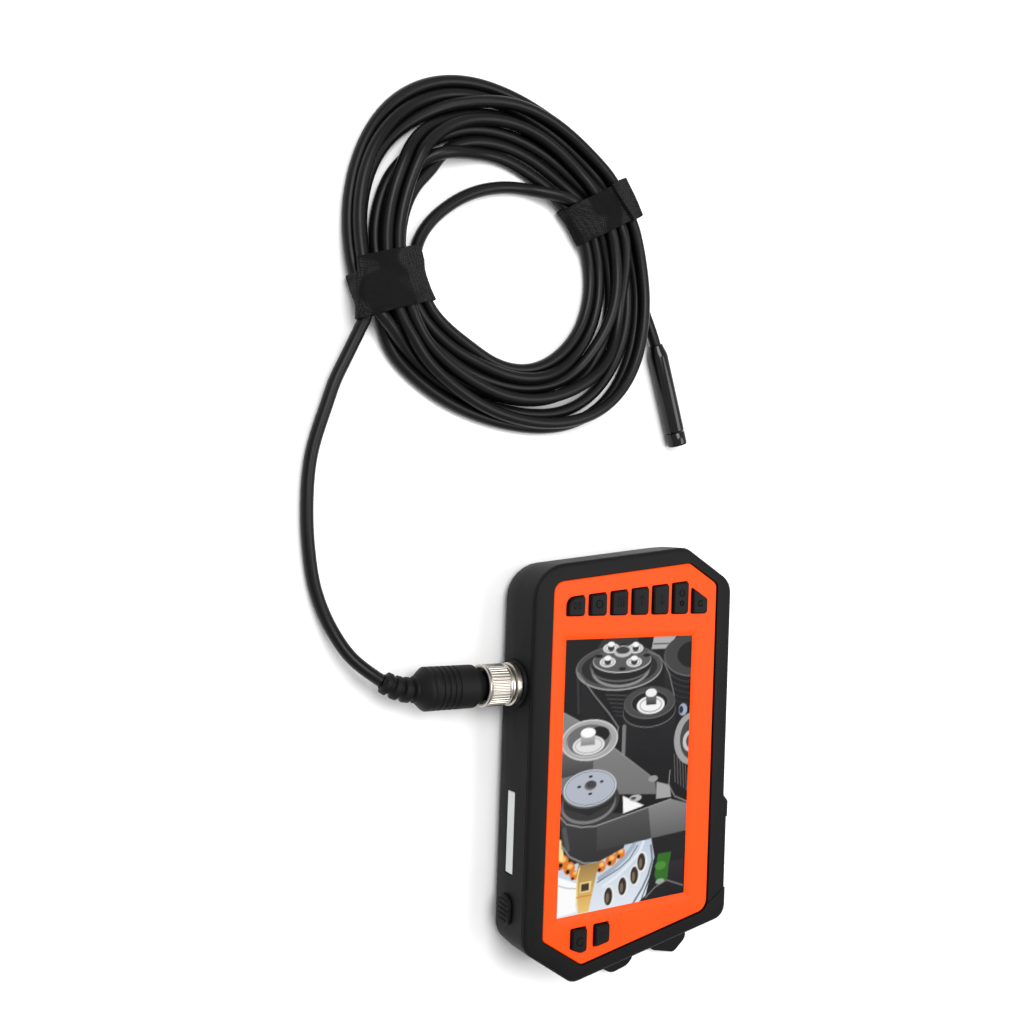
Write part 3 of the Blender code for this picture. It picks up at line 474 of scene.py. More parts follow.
def make_strap(name, angle, widest, layer, points, material):
    """A band drawn tight round the turns, and the second layer of tape that closes it."""
    spin = math.radians(angle)
    stations = np.linspace(-STRAP_HALF, STRAP_HALF, STRAP_STATIONS)
    final = STRAP_STATIONS - 1
    reaches = np.array([band_outline(points, COIL_AT, spin, a, widest) for a in stations])
    blend = np.array([0.25, 0.5, 0.25])
    reaches = np.array([blend @ reaches[[max(i - 1, 0), i, min(i + 1, final)]] for i in range(final + 1)])
    reaches = (np.roll(reaches, 1, axis=1) + 2 * reaches + np.roll(reaches, -1, axis=1)) / 4
    outward = Vector((math.cos(spin), math.sin(spin), 0))
    sideways = Vector((-math.sin(spin), math.cos(spin), 0))
    middle = Vector((*COIL_AT, 0))
    around = np.append(STRAP_TURNS, 360.0)

    def at(turn, along, proud):
        """The point this far round the strap and along the cable, this proud of the turns."""
        share = (np.clip(along, -STRAP_HALF, STRAP_HALF) + STRAP_HALF) / (2 * STRAP_HALF) * final
        low = min(int(share), final - 1)
        line = reaches[low] * (1 - share + low) + reaches[low + 1] * (share - low)
        line = np.append(line, line[0])
        reach = np.interp(turn % 360, around, line)
        after = np.interp((turn + STRAP_STEP) % 360, around, line)
        before = np.interp((turn - STRAP_STEP) % 360, around, line)
        slope = (after - before) / math.radians(2 * STRAP_STEP)
        c, v = math.cos(math.radians(turn)), math.sin(math.radians(turn))
        rho, z = (reach + proud) * c - slope * v, (reach + proud) * v + slope * c
        return (middle + outward * rho + sideways * along + UP * max(z, 0.15)) * MM

    def section(turn, offset, low, thick, half=STRAP_HALF):
        """One cut across the tape: a flat strip with its edges taken off."""
        edge = min(0.35, thick / 2)
        high = low + thick
        across = np.linspace(-half + 2, half - 2, 7)
        ring = [(-half + edge, low), (-half, low + edge), (-half, high - edge), (-half + edge, high)]
        ring += [(a, high) for a in across]
        ring += [(half - edge, high), (half, high - edge), (half, low + edge), (half - edge, low)]
        ring += [(a, low) for a in across[::-1]]
        return [at(turn, a + offset, proud) for a, proud in ring]

    band = skin([section(turn, 0.0, 0.0, STRAP_THICK) for turn in STRAP_TURNS], hollow=True)
    main = piece_of(band, name + "_band", material, "case", "strap_fabric", name)

    start, end, offset, low, thick = layer
    # A second layer that stands proud is the tape's free end: it bulges, and is wider than the band.
    bulge, wider = (0.35, 0.5) if low > 1 else (0.0, -0.4)
    turns = np.arange(start, end + 0.1, STRAP_STEP)
    rings = []
    for index, turn in enumerate(turns):
        rise = low + bulge * math.sin(math.pi * index / (len(turns) - 1))
        rings.append(section(turn, offset, rise, thick, STRAP_HALF + wider))
    second = piece_of(skin(rings), name + "_end", material, "case", "strap_fabric")
    return [main, second]


# ---- Connector ----
def connector_axis():
    """Where the connector's axis meets the side of the case."""
    low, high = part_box("coupling_nut")
    return Vector((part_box("socket_washer")[1][0] + 0.0003, (low[1] + high[1]) / 2, (low[2] + high[2]) / 2))


def on_axis(profile, **options):
    """A body turned about the connector's axis, from radii and distances from the case in mm."""
    return turned([(r * MM, h * MM) for r, h in profile], connector_axis(), (-1, 0, 0), **options)


def make_nut(nickel):
    """The coupling nut, with 40 flutes pressed into its barrel."""
    profile = [
        (6.4, 4.1), (7.4, 4.1), (7.8, 4.4), (7.8, 5.0), (7.3, 5.3), (7.3, 5.8), (8.0, 6.3), (8.1, 6.6),
        (8.1, 13.9), (8.0, 14.2), (7.8, 14.4), (7.9, 14.6), (8.15, 14.9), (8.15, 15.4), (7.8, 15.75),
        (7.2, 15.75), (6.8, 15.4), (6.7, 13.4), (6.4, 13.0),
    ]
    barrel = (7, 8)
    flute = (0.0, 0.0, 0.0, -0.0001, -0.0005, -0.00055, -0.0005, -0.0001)

    def ridges(side, step):
        return flute[side % len(flute)] if step in barrel else 0.0

    body = on_axis(profile, sides=40 * len(flute), hollow=True, ridges=ridges)
    return piece_of(body, "knurled_nut", nickel, "nut", "nickel", "coupling_nut", sharp=40)


def make_grip(rubber):
    """The plug's rubber body, with four grooves round it."""
    profile = [
        (4.0, 16.2), (5.9, 16.2), (6.0, 16.3), (6.0, 17.4), (6.2, 17.6), (7.8, 19.2), (8.1, 19.6),
        (8.2, 20.2),
    ]
    for middle in (28.2, 30.5, 32.8, 35.1):
        profile += [
            (8.2, middle - 0.75), (8.17, middle - 0.5), (7.8, middle - 0.32), (7.72, middle),
            (7.8, middle + 0.32), (8.17, middle + 0.5), (8.2, middle + 0.75),
        ]
    profile += [
        (8.2, 37.9), (8.0, 38.1), (8.2, 38.3), (8.2, 39.7), (8.0, 40.1), (5.3, 43.1), (4.9, 43.4),
        (3.0, 43.4),
    ]
    body = on_axis(profile, sides=72)
    return piece_of(body, "plug_grip", rubber, "case", "rubber_black", "plug_body", sharp=50)


def relief_route():
    """Along the strain relief: from the end of the plug, through the middle of its CAD box, to the cable."""
    axis = connector_axis()
    return [
        axis + Vector(p) * MM
        for p in ((-43.2, 0.0, 0.0), (-48.0, 0.3, -0.1), (-52.0, 1.5, -0.5), (-56.2, 3.6, -1.15))
    ]


def make_relief(rubber):
    """The strain relief: a bent cone with ribs round it."""
    ribs, first_rib, thick, thin = 3.6, 0.42, 5.0, 4.0
    route, _ = resampled([(p.x / MM, p.y / MM, p.z / MM) for p in relief_route()], 0.35)
    rings = []
    for index, spot in enumerate(route):
        share = index / (len(route) - 1)
        ahead = route[min(index + 1, len(route) - 1)] - route[max(index - 1, 0)]
        along = Vector(ahead).normalized()
        side = along.cross(UP).normalized()
        other = side.cross(along)
        wave = (share * ribs + first_rib) % 1.0
        rib = max(0.0, min(1.0, (0.5 - abs(wave - 0.5)) * 9 - 1.3))
        radius = (thick - (thick - thin) * share) * (0.74 + 0.26 * rib)
        # The very end is a little narrower.
        if share > 0.965:
            radius *= 0.92
        rings.append(
            [
                (Vector(spot) + (side * math.cos(a) + other * math.sin(a)) * radius) * MM
                for a in np.linspace(0, 2 * math.pi, 33)[:-1]
            ]
        )
    return piece_of(skin(rings), "ribbed_relief", rubber, "case", "rubber_black", "strain_relief", sharp=50)


# ---- Probe ----
PROBE_START = Vector((0.02535, 0.1780, 0.0044))
PROBE_HEADING = math.radians(-71.2)


def make_probe(gloss, nickel, lens):
    """The housing, its end cap, the ring of light and the lens, from radii and distances in mm."""
    housing = [
        (2.5, -0.4), (2.9, -0.2), (3.1, 0.3), (3.3, 1.2), (3.9, 3.2), (4.15, 4.2), (4.25, 5.2),
        (4.25, 37.9), (4.2, 38.35), (4.05, 38.55), (1.0, 38.6),
    ]
    cap = [
        (3.5, 38.9), (4.1, 38.9), (4.25, 39.1), (4.25, 43.9), (4.15, 44.4), (3.9, 44.7), (3.55, 44.7),
        (3.45, 44.4), (3.45, 39.6),
    ]
    ring = [(1.9, 40.0), (3.3, 40.0), (3.3, 44.0), (3.1, 44.3), (2.6, 44.35), (2.1, 44.2), (1.9, 43.6)]
    dome = [(0.3, 40.0), (1.6, 40.0), (1.6, 43.6), (1.5, 43.9), (1.2, 44.15), (0.7, 44.35), (0.2, 44.4)]
    along = (math.cos(PROBE_HEADING), math.sin(PROBE_HEADING), 0)
    made = []
    for name, profile, sides, hollow, material, slot, node in (
        ("probe_tube", housing, 64, False, gloss, "probe_black", "probe_housing"),
        ("probe_nose", cap, 64, True, gloss, "probe_black", "probe_cap"),
        ("probe_lamp_ring", ring, 48, True, nickel, "nickel", "probe_light_ring"),
        ("probe_lens_dome", dome, 32, False, lens, "lens_glass", "probe_lens"),
    ):
        scaled = [(r * MM, h * MM) for r, h in profile]
        body = turned(scaled, PROBE_START, along, sides=sides, hollow=hollow)
        made.append(piece_of(body, name, material, "case", slot, node, sharp=45))
    return made


# ---- Screen ----
COPPER, PALE_GOLD, LEAF = (222, 122, 34), (246, 222, 146), (48, 108, 34)
SKY, PALE_SKY, FLAME = (190, 203, 218), (226, 233, 241), (244, 190, 110)


def ink_of(ink):
    """Linear red, green and blue of an ink: a grey from 0 to 255, or three such numbers."""
    values = np.ones(3) * np.array(ink) / 255
    return np.where(values > 0.04045, ((values + 0.055) / 1.055) ** 2.4, values / 12.92)


class Canvas:
    """Paints shapes on a grid of points. Places and sizes are in mm from the middle of the screen."""

    def __init__(self, x, y):
        self.x = x
        self.y = y
        self.colours = np.ones((len(x), 3)) * ink_of(16)

    def fill(self, distance, ink, share=1.0):
        """Paints where the distance is below 0, with an edge a third of a mm soft."""
        cover = np.clip(0.5 - distance / 0.35, 0, 1) * share
        self.colours += (ink - self.colours) * cover[:, None]

    def from_disc(self, x, y, rx, ry):
        """About how far each point is from the rim of an oval, and below 0 inside it."""
        scaled = np.hypot((self.x - x) / rx, (self.y - y) / ry) + 1e-9
        slope = np.hypot((self.x - x) / rx**2, (self.y - y) / ry**2) + 1e-9
        return np.where(scaled < 0.3, -min(rx, ry), scaled * (scaled - 1) / slope)

    def disc(self, x, y, rx, ry, ink):
        self.fill(self.from_disc(x, y, rx, ry), ink_of(ink))

    def ring(self, x, y, rx, ry, width, ink, side=0):
        """A ring, or with side -1 or 1 its lower or upper half, fading out at the ends."""
        share = np.clip(0.5 + side * 1.2 * (self.y - y) / ry, 0, 1) if side else 1.0
        self.fill(np.abs(self.from_disc(x, y, rx, ry)) - width / 2, ink_of(ink), share)

    def patch(self, corners, ink, low_ink=None):
        """A polygon with no hollow side, shaded from ink at its top to low_ink at its bottom."""
        pairs = list(zip(corners, corners[1:] + corners[:1]))
        sign = math.copysign(1, sum(x0 * y1 - x1 * y0 for (x0, y0), (x1, y1) in pairs))
        reach = np.full(self.x.shape, -1e9)
        for (x0, y0), (x1, y1) in pairs:
            off = ((self.x - x0) * (y1 - y0) - (self.y - y0) * (x1 - x0)) / math.hypot(x1 - x0, y1 - y0)
            reach = np.maximum(reach, off * sign)
        heights = [y for _, y in corners]
        down = np.clip((max(heights) - self.y) / (max(heights) - min(heights)), 0, 1)[:, None]
        self.fill(reach, ink_of(ink) * (1 - down) + ink_of(ink if low_ink is None else low_ink) * down)

    def line(self, points, width, ink):
        """A line through points, with round ends."""
        reach = np.full(self.x.shape, 1e9)
        for (x0, y0), (x1, y1) in zip(points, points[1:]):
            dx, dy = x1 - x0, y1 - y0
            t = np.clip(((self.x - x0) * dx + (self.y - y0) * dy) / (dx * dx + dy * dy), 0, 1)
            reach = np.minimum(reach, np.hypot(self.x - x0 - t * dx, self.y - y0 - t * dy))
        self.fill(reach - width / 2, ink_of(ink))

    def nut(self, x, y, size):
        """A nut on a washer, with its stud standing up out of it."""
        self.disc(x, y, 4 * size, 2 * size, 228)
        self.ring(x, y, 3 * size, 1.3 * size, 0.3, 124)
        self.disc(x, y + 0.2 * size, 1.7 * size, 1.4 * size, 50)
        self.disc(x, y + 1.6 * size, 1.7 * size, size, 247)

    def dish(self, x, y, rx, ry, face, rim, hollow):
        """A round face with a bright lower rim and a darker hollow."""
        self.disc(x, y, rx, ry, face)
        self.ring(x, y, rx - 0.3, ry - 0.3, 0.4, rim, -1)
        self.disc(x, y, rx * 0.72, ry * 0.7, hollow)
        self.ring(x, y, rx * 0.71, ry * 0.69, 0.3, rim)


def draw_back(canvas):
    """The dark back of the machine: a ribbed wheel at the right, and a big belt wheel with four nuts."""
    canvas.patch([(-14, 54), (4, 54), (2, 50), (-17, 50)], 48)
    canvas.patch([(12, 54), (24, 54), (20, 49), (11, 49)], 175)
    canvas.line([(12, 51), (20, 51)], 0.5, 42)
    for groove in range(5):
        canvas.ring(34, 34 + 2.3 * groove, 15.3, 8.7, 0.4, 36 + 6 * groove, -1)
    canvas.disc(34, 46, 16.4, 9, 63)
    canvas.disc(34, 46, 9, 5.7, 24)
    canvas.ring(34, 45.6, 15.8, 8.7, 0.4, 112, -1)
    canvas.patch([(-24, 37), (-11, 23), (-13, 21), (-24, 22)], 25)
    canvas.line([(-26, 40), (-25, 25)], 1.1, 47)
    for groove in range(6):
        start = -12 + 1.1 * groove
        canvas.line([(start, 31.5 - 1.7 * groove), (-1, 30.5 - 1.7 * groove)], 0.4, 74 - 4 * groove)
    canvas.disc(-5, 42, 22, 9.2, 73)
    canvas.ring(-5, 42, 21.7, 8.9, 0.5, 167, -1)
    canvas.ring(-5, 42, 21.7, 8.9, 0.3, 98, 1)
    canvas.disc(-5, 42, 19.3, 7.3, 34)
    canvas.ring(-4.5, 41.6, 14.5, 7.0, 1.0, 142, -1)
    canvas.ring(-4.5, 43, 15.5, 6.4, 0.5, 108, -1)
    canvas.disc(-4, 43, 15.2, 5.6, 22)
    canvas.disc(-4, 45, 14.9, 5.1, 86)
    canvas.ring(-4, 45, 14.7, 4.9, 0.4, 199, -1)
    for x, y in ((-16, 47), (8.5, 46.5), (-4, 41.5), (-4, 51)):
        canvas.disc(x, y, 1.9, 0.7, 14)
    for x, y in ((-10, 50), (2.5, 49.5), (-11.5, 44.5), (2, 44)):
        canvas.nut(x, y, 1.0)
    canvas.disc(-4, 48.5, 4.6, 2.3, 193)
    canvas.disc(-4, 49, 3.5, 1.5, 60)
    canvas.line([(-26, 41), (-17, 31), (-10, 24), (-5, 18), (-6, 12)], 0.4, 140)
    canvas.line([(9, 48), (15, 46), (18, 43), (21, 38), (24, 29)], 0.4, 128)


def draw_rollers(canvas):
    """A black roller, a pale one on a grey belt, and a finned wheel at the right edge."""
    canvas.patch([(-2.5, 24), (25, 23), (25, 0), (0, 2)], 28, 12)
    canvas.line([(-2, 18), (-2, 7)], 1.8, 120)
    canvas.disc(11, 23.5, 13.9, 6.6, 17)
    canvas.ring(11, 23.5, 13.8, 6.5, 0.3, 122, -1)
    canvas.dish(11, 27, 13.6, 6.7, 67, 100, 17)
    canvas.disc(11.5, 26, 7.3, 3.7, 243)
    canvas.ring(11.5, 26, 5.7, 2.8, 0.4, 126)
    canvas.patch([(8.7, 31), (14.4, 31), (14.4, 26), (9, 26)], 122, 42)
    canvas.disc(11.5, 31, 2.9, 1.7, 240)
    canvas.disc(29, 23, 2.3, 2.5, (158, 174, 196))
    canvas.disc(28, 23, 1.2, 1.6, 40)
    canvas.disc(34.5, 10.5, 9.8, 11, 160)
    canvas.disc(35.5, 10.5, 7.6, 9, 66)
    canvas.disc(34, 9.5, 4.5, 4.6, 198)
    canvas.disc(34.5, 9.5, 3.2, 3.3, 77)
    for fin in range(6):
        canvas.line([(25 + 1.6 * fin, 4.5 - 1.3 * fin), (26 + 1.6 * fin, -7 - fin)], 0.4, 96)
    canvas.patch([(-33, 26), (-23, 21), (-10, 12), (15, -5), (16, -11), (-33, -6)], 132, 112)
    canvas.line([(-33, 26), (-23, 21), (-10, 12), (15, -5)], 0.3, 160)
    canvas.patch([(-33, 10), (-17, 6), (-17, 2), (-33, 0)], 96, 64)
    canvas.disc(-19, 14, 13.9, 8.1, 165)
    canvas.ring(-19, 14, 13.6, 7.8, 0.5, 211)
    canvas.disc(-19.5, 14, 11, 6.2, 107)
    canvas.ring(-19.5, 13.5, 10.5, 5.9, 0.4, 199, -1)
    canvas.disc(-14.5, 16, 5.2, 3.1, 20)
    canvas.disc(-19.5, 12, 7.8, 3.8, 224)
    canvas.ring(-19.5, 12, 6.5, 3, 0.3, 144)
    canvas.patch([(-23.5, 17), (-16.5, 17), (-16.5, 12), (-23.5, 12)], 190, 132)
    canvas.disc(-20, 17, 3.6, 1.9, 251)


def draw_generator(canvas):
    """A bright finned generator with copper windings, behind a gold bracket and a green cap."""
    canvas.patch([(-35, -21), (33, -27), (33, -57), (-35, -57)], 30)
    canvas.patch([(-35, -36), (0, -30), (14, -29), (16, -37), (12, -52), (4, -57), (-35, -57)], SKY, PALE_SKY)
    canvas.patch([(-35, -37), (-23, -42), (-23, -53), (-35, -54)], 250)
    canvas.line([(-32, -41.5), (-28, -43), (-23, -44)], 0.4, 168)
    canvas.line([(-12, -41.5), (-5, -38.5), (0.5, -35), (5, -30.5)], 1.9, (160, 174, 190))
    canvas.line([(-13, -43), (-2, -39), (3, -36), (7, -31)], 0.5, (84, 94, 106))
    canvas.line([(-10, -45), (-3, -42), (3, -38), (8, -34), (10, -30)], 1.3, PALE_SKY)
    for x, y in ((-7, -49.5), (0, -46.5), (6, -43), (9.5, -38)):
        canvas.disc(x, y, 2.9, 4.3, 234)
        canvas.disc(x - 0.3, y, 2.1, 3.6, (52, 44, 36))
        canvas.disc(x - 0.7, y - 0.5, 0.8, 2.0, (118, 106, 84))
    canvas.line([(14, -32), (15, -38), (13, -44), (10, -49), (5, -55)], 1.0, (112, 124, 138))
    canvas.line([(16, -38), (14, -45), (10, -53)], 0.6, 40)
    for x, y, size in (
        (-30.5, -32.5, 1.3), (-27, -35.5, 1.2), (-24.5, -38.5, 0.9), (-11.5, -37, 1.1), (-6.5, -35, 1.2),
        (-2, -33, 1.1),
    ):
        canvas.disc(x, y, 2.3 * size, 2.1 * size, COPPER)
        canvas.disc(x + 0.4, y + 0.8, 1.1 * size, 0.8 * size, FLAME)
        canvas.disc(x - 0.7, y - 1.2, 0.8 * size, 0.7 * size, (24, 14, 8))
    canvas.line([(-32, -25), (-31, -31)], 2.4, PALE_GOLD)
    canvas.patch(
        [(-22.5, -34), (-12.5, -35), (-17, -54), (-22, -54), (-23.5, -40)],
        (150, 118, 70),
        (236, 196, 110),
    )
    canvas.line([(-22, -36), (-23, -40), (-23, -51)], 0.6, PALE_GOLD)
    canvas.patch([(-21.5, -42), (-16, -42), (-16.5, -46), (-21.5, -46)], PALE_GOLD)
    canvas.patch([(-21, -42.5), (-17, -42.5), (-17, -45.5), (-21, -45.5)], (72, 48, 44))
    canvas.line([(-23, -47.5), (-16, -47.5)], 0.5, COPPER)
    canvas.patch([(18, -36), (25, -36), (24, -42), (17, -41)], LEAF)
    canvas.disc(20.5, -44, 4, 4, LEAF)
    canvas.disc(19.5, -41, 2.9, 1.7, (74, 140, 52))
    canvas.disc(19.5, -47.5, 2.3, 1.1, (156, 172, 156))
    canvas.patch([(24, -40), (32, -40), (32, -55), (23, -53)], (44, 38, 44), 22)
    canvas.line([(12, -53), (17, -49.5), (23, -47.5), (32, -51)], 0.4, 130)


def draw_drum(canvas):
    """The grey belt drum in front, with its belt to the right."""
    canvas.patch([(-32, -13), (-1, -17), (0, -31), (-13, -35), (-21, -35), (-27, -32), (-31, -27)], 60, 46)
    canvas.patch([(-14, -20), (24, -14), (34, -17), (34, -28), (14, -29), (-6, -33), (-14, -34)], 85, 51)
    canvas.patch([(12, -16), (24, -14), (34, -17), (34, -28), (14, -29)], 132, 94)
    canvas.line([(-30, -20), (-28, -28)], 2.0, 82)
    canvas.line([(-31, -26), (-27, -31), (-20, -34.5), (-13, -35)], 0.4, 165)
    canvas.disc(-18, -10.5, 14.7, 9, 52)
    canvas.ring(-18.5, -11, 13, 7.5, 1.2, 122, -1)
    canvas.line([(-32, -15), (-29, -18), (-22, -20), (-15, -20.5), (0, -18), (24, -14)], 0.4, 158)
    canvas.patch([(-31, -5), (-5, -7), (-6, -12), (-18, -16), (-30, -12)], 46, 34)
    canvas.disc(-18, -5.3, 13.4, 7.6, 102)
    canvas.disc(-18, -5, 13, 7.2, (206, 211, 220))
    canvas.disc(-18, -5, 12.3, 6.8, 97)
    canvas.disc(-18, -5, 12, 6.5, (178, 184, 195))
    canvas.disc(-18, -4, 3, 1.9, 106)
    canvas.disc(-17.6, -3.6, 2.5, 1.5, 64)
    for x, y in ((-18, -0.5), (-12.5, -3), (-23.5, -4), (-18, -7.3)):
        canvas.disc(x, y, 1.0, 0.5, 20)
    canvas.patch([(-1.5, -10), (9.5, -15), (-1, -17)], 246)
    canvas.disc(5, -11.5, 3.2, 1.4, 180)
    canvas.disc(4, -11.5, 1.4, 0.6, 64)
    canvas.patch([(16, -6), (23, -8), (24, -13), (16, -13)], 163)
    canvas.disc(14, -4.5, 2.5, 1.3, 150)
    canvas.line([(23, -2), (22.5, -8), (26, -13), (33, -16)], 0.4, 147)


def lit_glass():
    """Dark glass that shines with the mesh's colours, with faint smears over it."""
    material, tree, shader = new_material("lit_screen")
    picture = add_node(tree, "ShaderNodeVertexColor", layer_name="picture").outputs["Color"]
    shader.inputs["Base Color"].default_value = (0.006, 0.006, 0.007, 1.0)
    tree.links.new(picture, shader.inputs["Emission Color"])
    shader.inputs["Emission Strength"].default_value = 1.0
    smear = noise(tree, 60.0, 3.0)
    tree.links.new(ranged(tree, smear, 0.3, 0.7, 0.24, 0.32), shader.inputs["Roughness"])
    shader.inputs["Specular IOR Level"].default_value = 0.03
    return material


def make_screen():
    """The glass, with the drawing shining through its top."""
    low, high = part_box("screen_glass")
    # The number of points of the picture along each side.
    across, up = 166, 276
    xs, ys = np.linspace(low[0], high[0], across), np.linspace(low[1], high[1], up)
    x, y = [g.ravel() for g in np.meshgrid(xs, ys)]
    middle = ((low[0] + high[0]) / 2, (low[1] + high[1]) / 2)
    canvas = Canvas((x - middle[0]) / MM, (y - middle[1]) / MM)
    for draw in (draw_back, draw_rollers, draw_generator, draw_drum):
        draw(canvas)
    verts = [(a, b, high[2]) for a, b in zip(x, y)]
    faces = [
        (j * across + i, j * across + i + 1, (j + 1) * across + i + 1, (j + 1) * across + i)
        for j in range(up - 1)
        for i in range(across - 1)
    ]
    rim = list(range(across))
    rim += [j * across + across - 1 for j in range(1, up)]
    rim += [(up - 1) * across + i for i in range(across - 2, -1, -1)]
    rim += [j * across for j in range(up - 2, 0, -1)]
    base = len(verts)
    verts += [(verts[i][0], verts[i][1], low[2]) for i in rim]
    faces += [(rim[k], base + k, base + (k + 1) % len(rim), rim[(k + 1) % len(rim)]) for k in range(len(rim))]
    faces.append(tuple(base + k for k in range(len(rim)))[::-1])
    mesh = bpy.data.meshes.new("lit_screen")
    mesh.from_pydata(verts, [], faces)
    layer = mesh.color_attributes.new("picture", "FLOAT_COLOR", "POINT")
    values = np.ones((len(verts), 4), np.float32)
    values[:, :3] = 0.004  # the glass's sides and back
    values[:base, :3] = canvas.colours
    layer.data.foreach_set("color", values.ravel())
    mesh.materials.append(lit_glass())
    obj = new_object("lit_screen", mesh)
    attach(obj, "case")
    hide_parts("screen_glass")


# ---- Keys, switch and small parts ----
# Half the width of a mark's bars, and how high they stand.
MARK_HALF, MARK_HIGH = 0.00022, 0.00014


def bar(bm, start, end, level):
    """A rounded bar on top of a key, from one point to another, in metres."""
    first, last = Vector(start), Vector(end)
    along = (last - first).normalized() if (last - first).length > 1e-9 else Vector((1, 0))
    side = Vector((-along.y, along.x))
    outline = []
    for centre, sign in ((last, 1), (first, -1)):
        for step in range(5):
            angle = math.pi * step / 4
            spoke = side * -math.cos(angle) + along * math.sin(angle)
            outline.append(centre + spoke * MARK_HALF * sign)
    middle = sum(outline, Vector((0, 0))) / len(outline)
    rings = []
    for share, rise in ((1.0, -0.0002), (1.0, MARK_HIGH * 0.6), (0.93, MARK_HIGH)):
        rings.append([(*middle.lerp(p, share), level + rise) for p in outline])
    skin(rings, bm)


def arc(bm, centre, radius, start, end, level):
    """A bent bar: short bars along part of a circle, with its angles in degrees."""
    count = max(3, int(abs(end - start) / 20))
    spots = [
        Vector(centre) + Vector((math.cos(math.radians(a)), math.sin(math.radians(a)))) * radius
        for a in np.linspace(start, end, count + 1)
    ]
    for first, last in zip(spots, spots[1:]):
        bar(bm, first, last, level)


def make_icons(material):
    """A small raised mark on each key, in mm from its middle.

    A bar runs between two points. An arc has its middle, its radius and two angles.
    """
    marks = {
        1: (
            ("bar", -1.3, -1.0, 1.3, -1.0), ("bar", -1.3, 1.0, 1.3, 1.0), ("bar", -1.3, -1.0, -1.3, 1.0),
            ("bar", 1.3, -1.0, 1.3, 1.0), ("bar", -0.6, -0.3, 0.6, 0.3),
        ),
        2: (("arc", 0, 0, 1.5, 0, 360), ("bar", -0.5, 0.0, 0.5, 0.0)),
        3: (
            ("bar", -1.4, -1.8, -1.4, 1.4), ("bar", 0.0, -1.8, 0.0, 1.4), ("bar", 1.4, -1.8, 1.4, 1.4),
            ("bar", -1.6, 2.0, 1.6, 2.3),
        ),
        4: (("bar", 0.0, -1.8, 0.0, 2.0), ("bar", -1.0, 1.0, 0.0, 2.0), ("bar", 1.0, 1.0, 0.0, 2.0)),
        5: (("bar", 0.0, -2.0, 0.0, 2.0), ("bar", -1.0, -1.0, 0.0, -2.0), ("bar", 1.0, -1.0, 0.0, -2.0)),
        6: (("arc", 0, 1.9, 1.3, 110, 430), ("bar", 0.0, 2.4, 0.0, 3.6), ("arc", 0, -2.3, 0.9, 0, 360)),
        7: (("arc", -0.2, -0.6, 1.2, 40, 330), ("bar", 0.2, -0.6, 0.9, -0.6)),
        8: (("bar", -1.0, 0.0, 1.0, 0.0), ("arc", 0, 0, 1.6, 30, 330)),
        9: (("bar", -1.0, 0.9, 1.0, 0.9), ("bar", -1.0, -0.1, 1.0, -0.1), ("bar", -1.0, -1.1, 1.0, -1.1)),
    }
    for number, parts in marks.items():
        low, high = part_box(f"key_{number}")
        middle = Vector(((low[0] + high[0]) / 2, (low[1] + high[1]) / 2))
        # Key 7 has a slanted top, so its mark sits lower.
        if number == 7:
            middle.y -= 0.0008
        bm = bmesh.new()
        for kind, *values in parts:
            if kind == "bar":
                x0, y0, x1, y1 = [v * MM for v in values]
                bar(bm, middle + Vector((x0, y0)), middle + Vector((x1, y1)), high[2])
            else:
                cx, cy, radius = [v * MM for v in values[:3]]
                arc(bm, middle + Vector((cx, cy)), radius, values[3], values[4], high[2])
        piece_of(bm, f"mark_key_{number}", material, f"key_{number}", "rubber_black", sharp=50)


def make_switch_ribs(material):
    """Five ribs across the switch's knob, shorter towards its ends."""
    low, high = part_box("switch_knob")
    middle_y, middle_z = (low[1] + high[1]) / 2, (low[2] + high[2]) / 2
    apart = 0.0019
    section = [
        (-0.0005, 0.00045), (0.0002, 0.0004), (0.00055, 0.0002), (0.00055, -0.0002), (0.0002, -0.0004),
        (-0.0005, -0.00045),
    ]
    bm = bmesh.new()
    for index, half_length in enumerate((0.0022, 0.0031, 0.0034, 0.0031, 0.0022)):
        y = middle_y + (index - 2) * apart
        rings = []
        for z, size in ((-1, 0.5), (-0.92, 1.0), (0.92, 1.0), (1, 0.5)):
            rings.append(
                [(low[0] - out * size, y + side * size, middle_z + z * half_length) for out, side in section]
            )
        skin(rings, bm)
    piece_of(bm, "switch_ribs", material, "switch", "rubber_black", sharp=50)


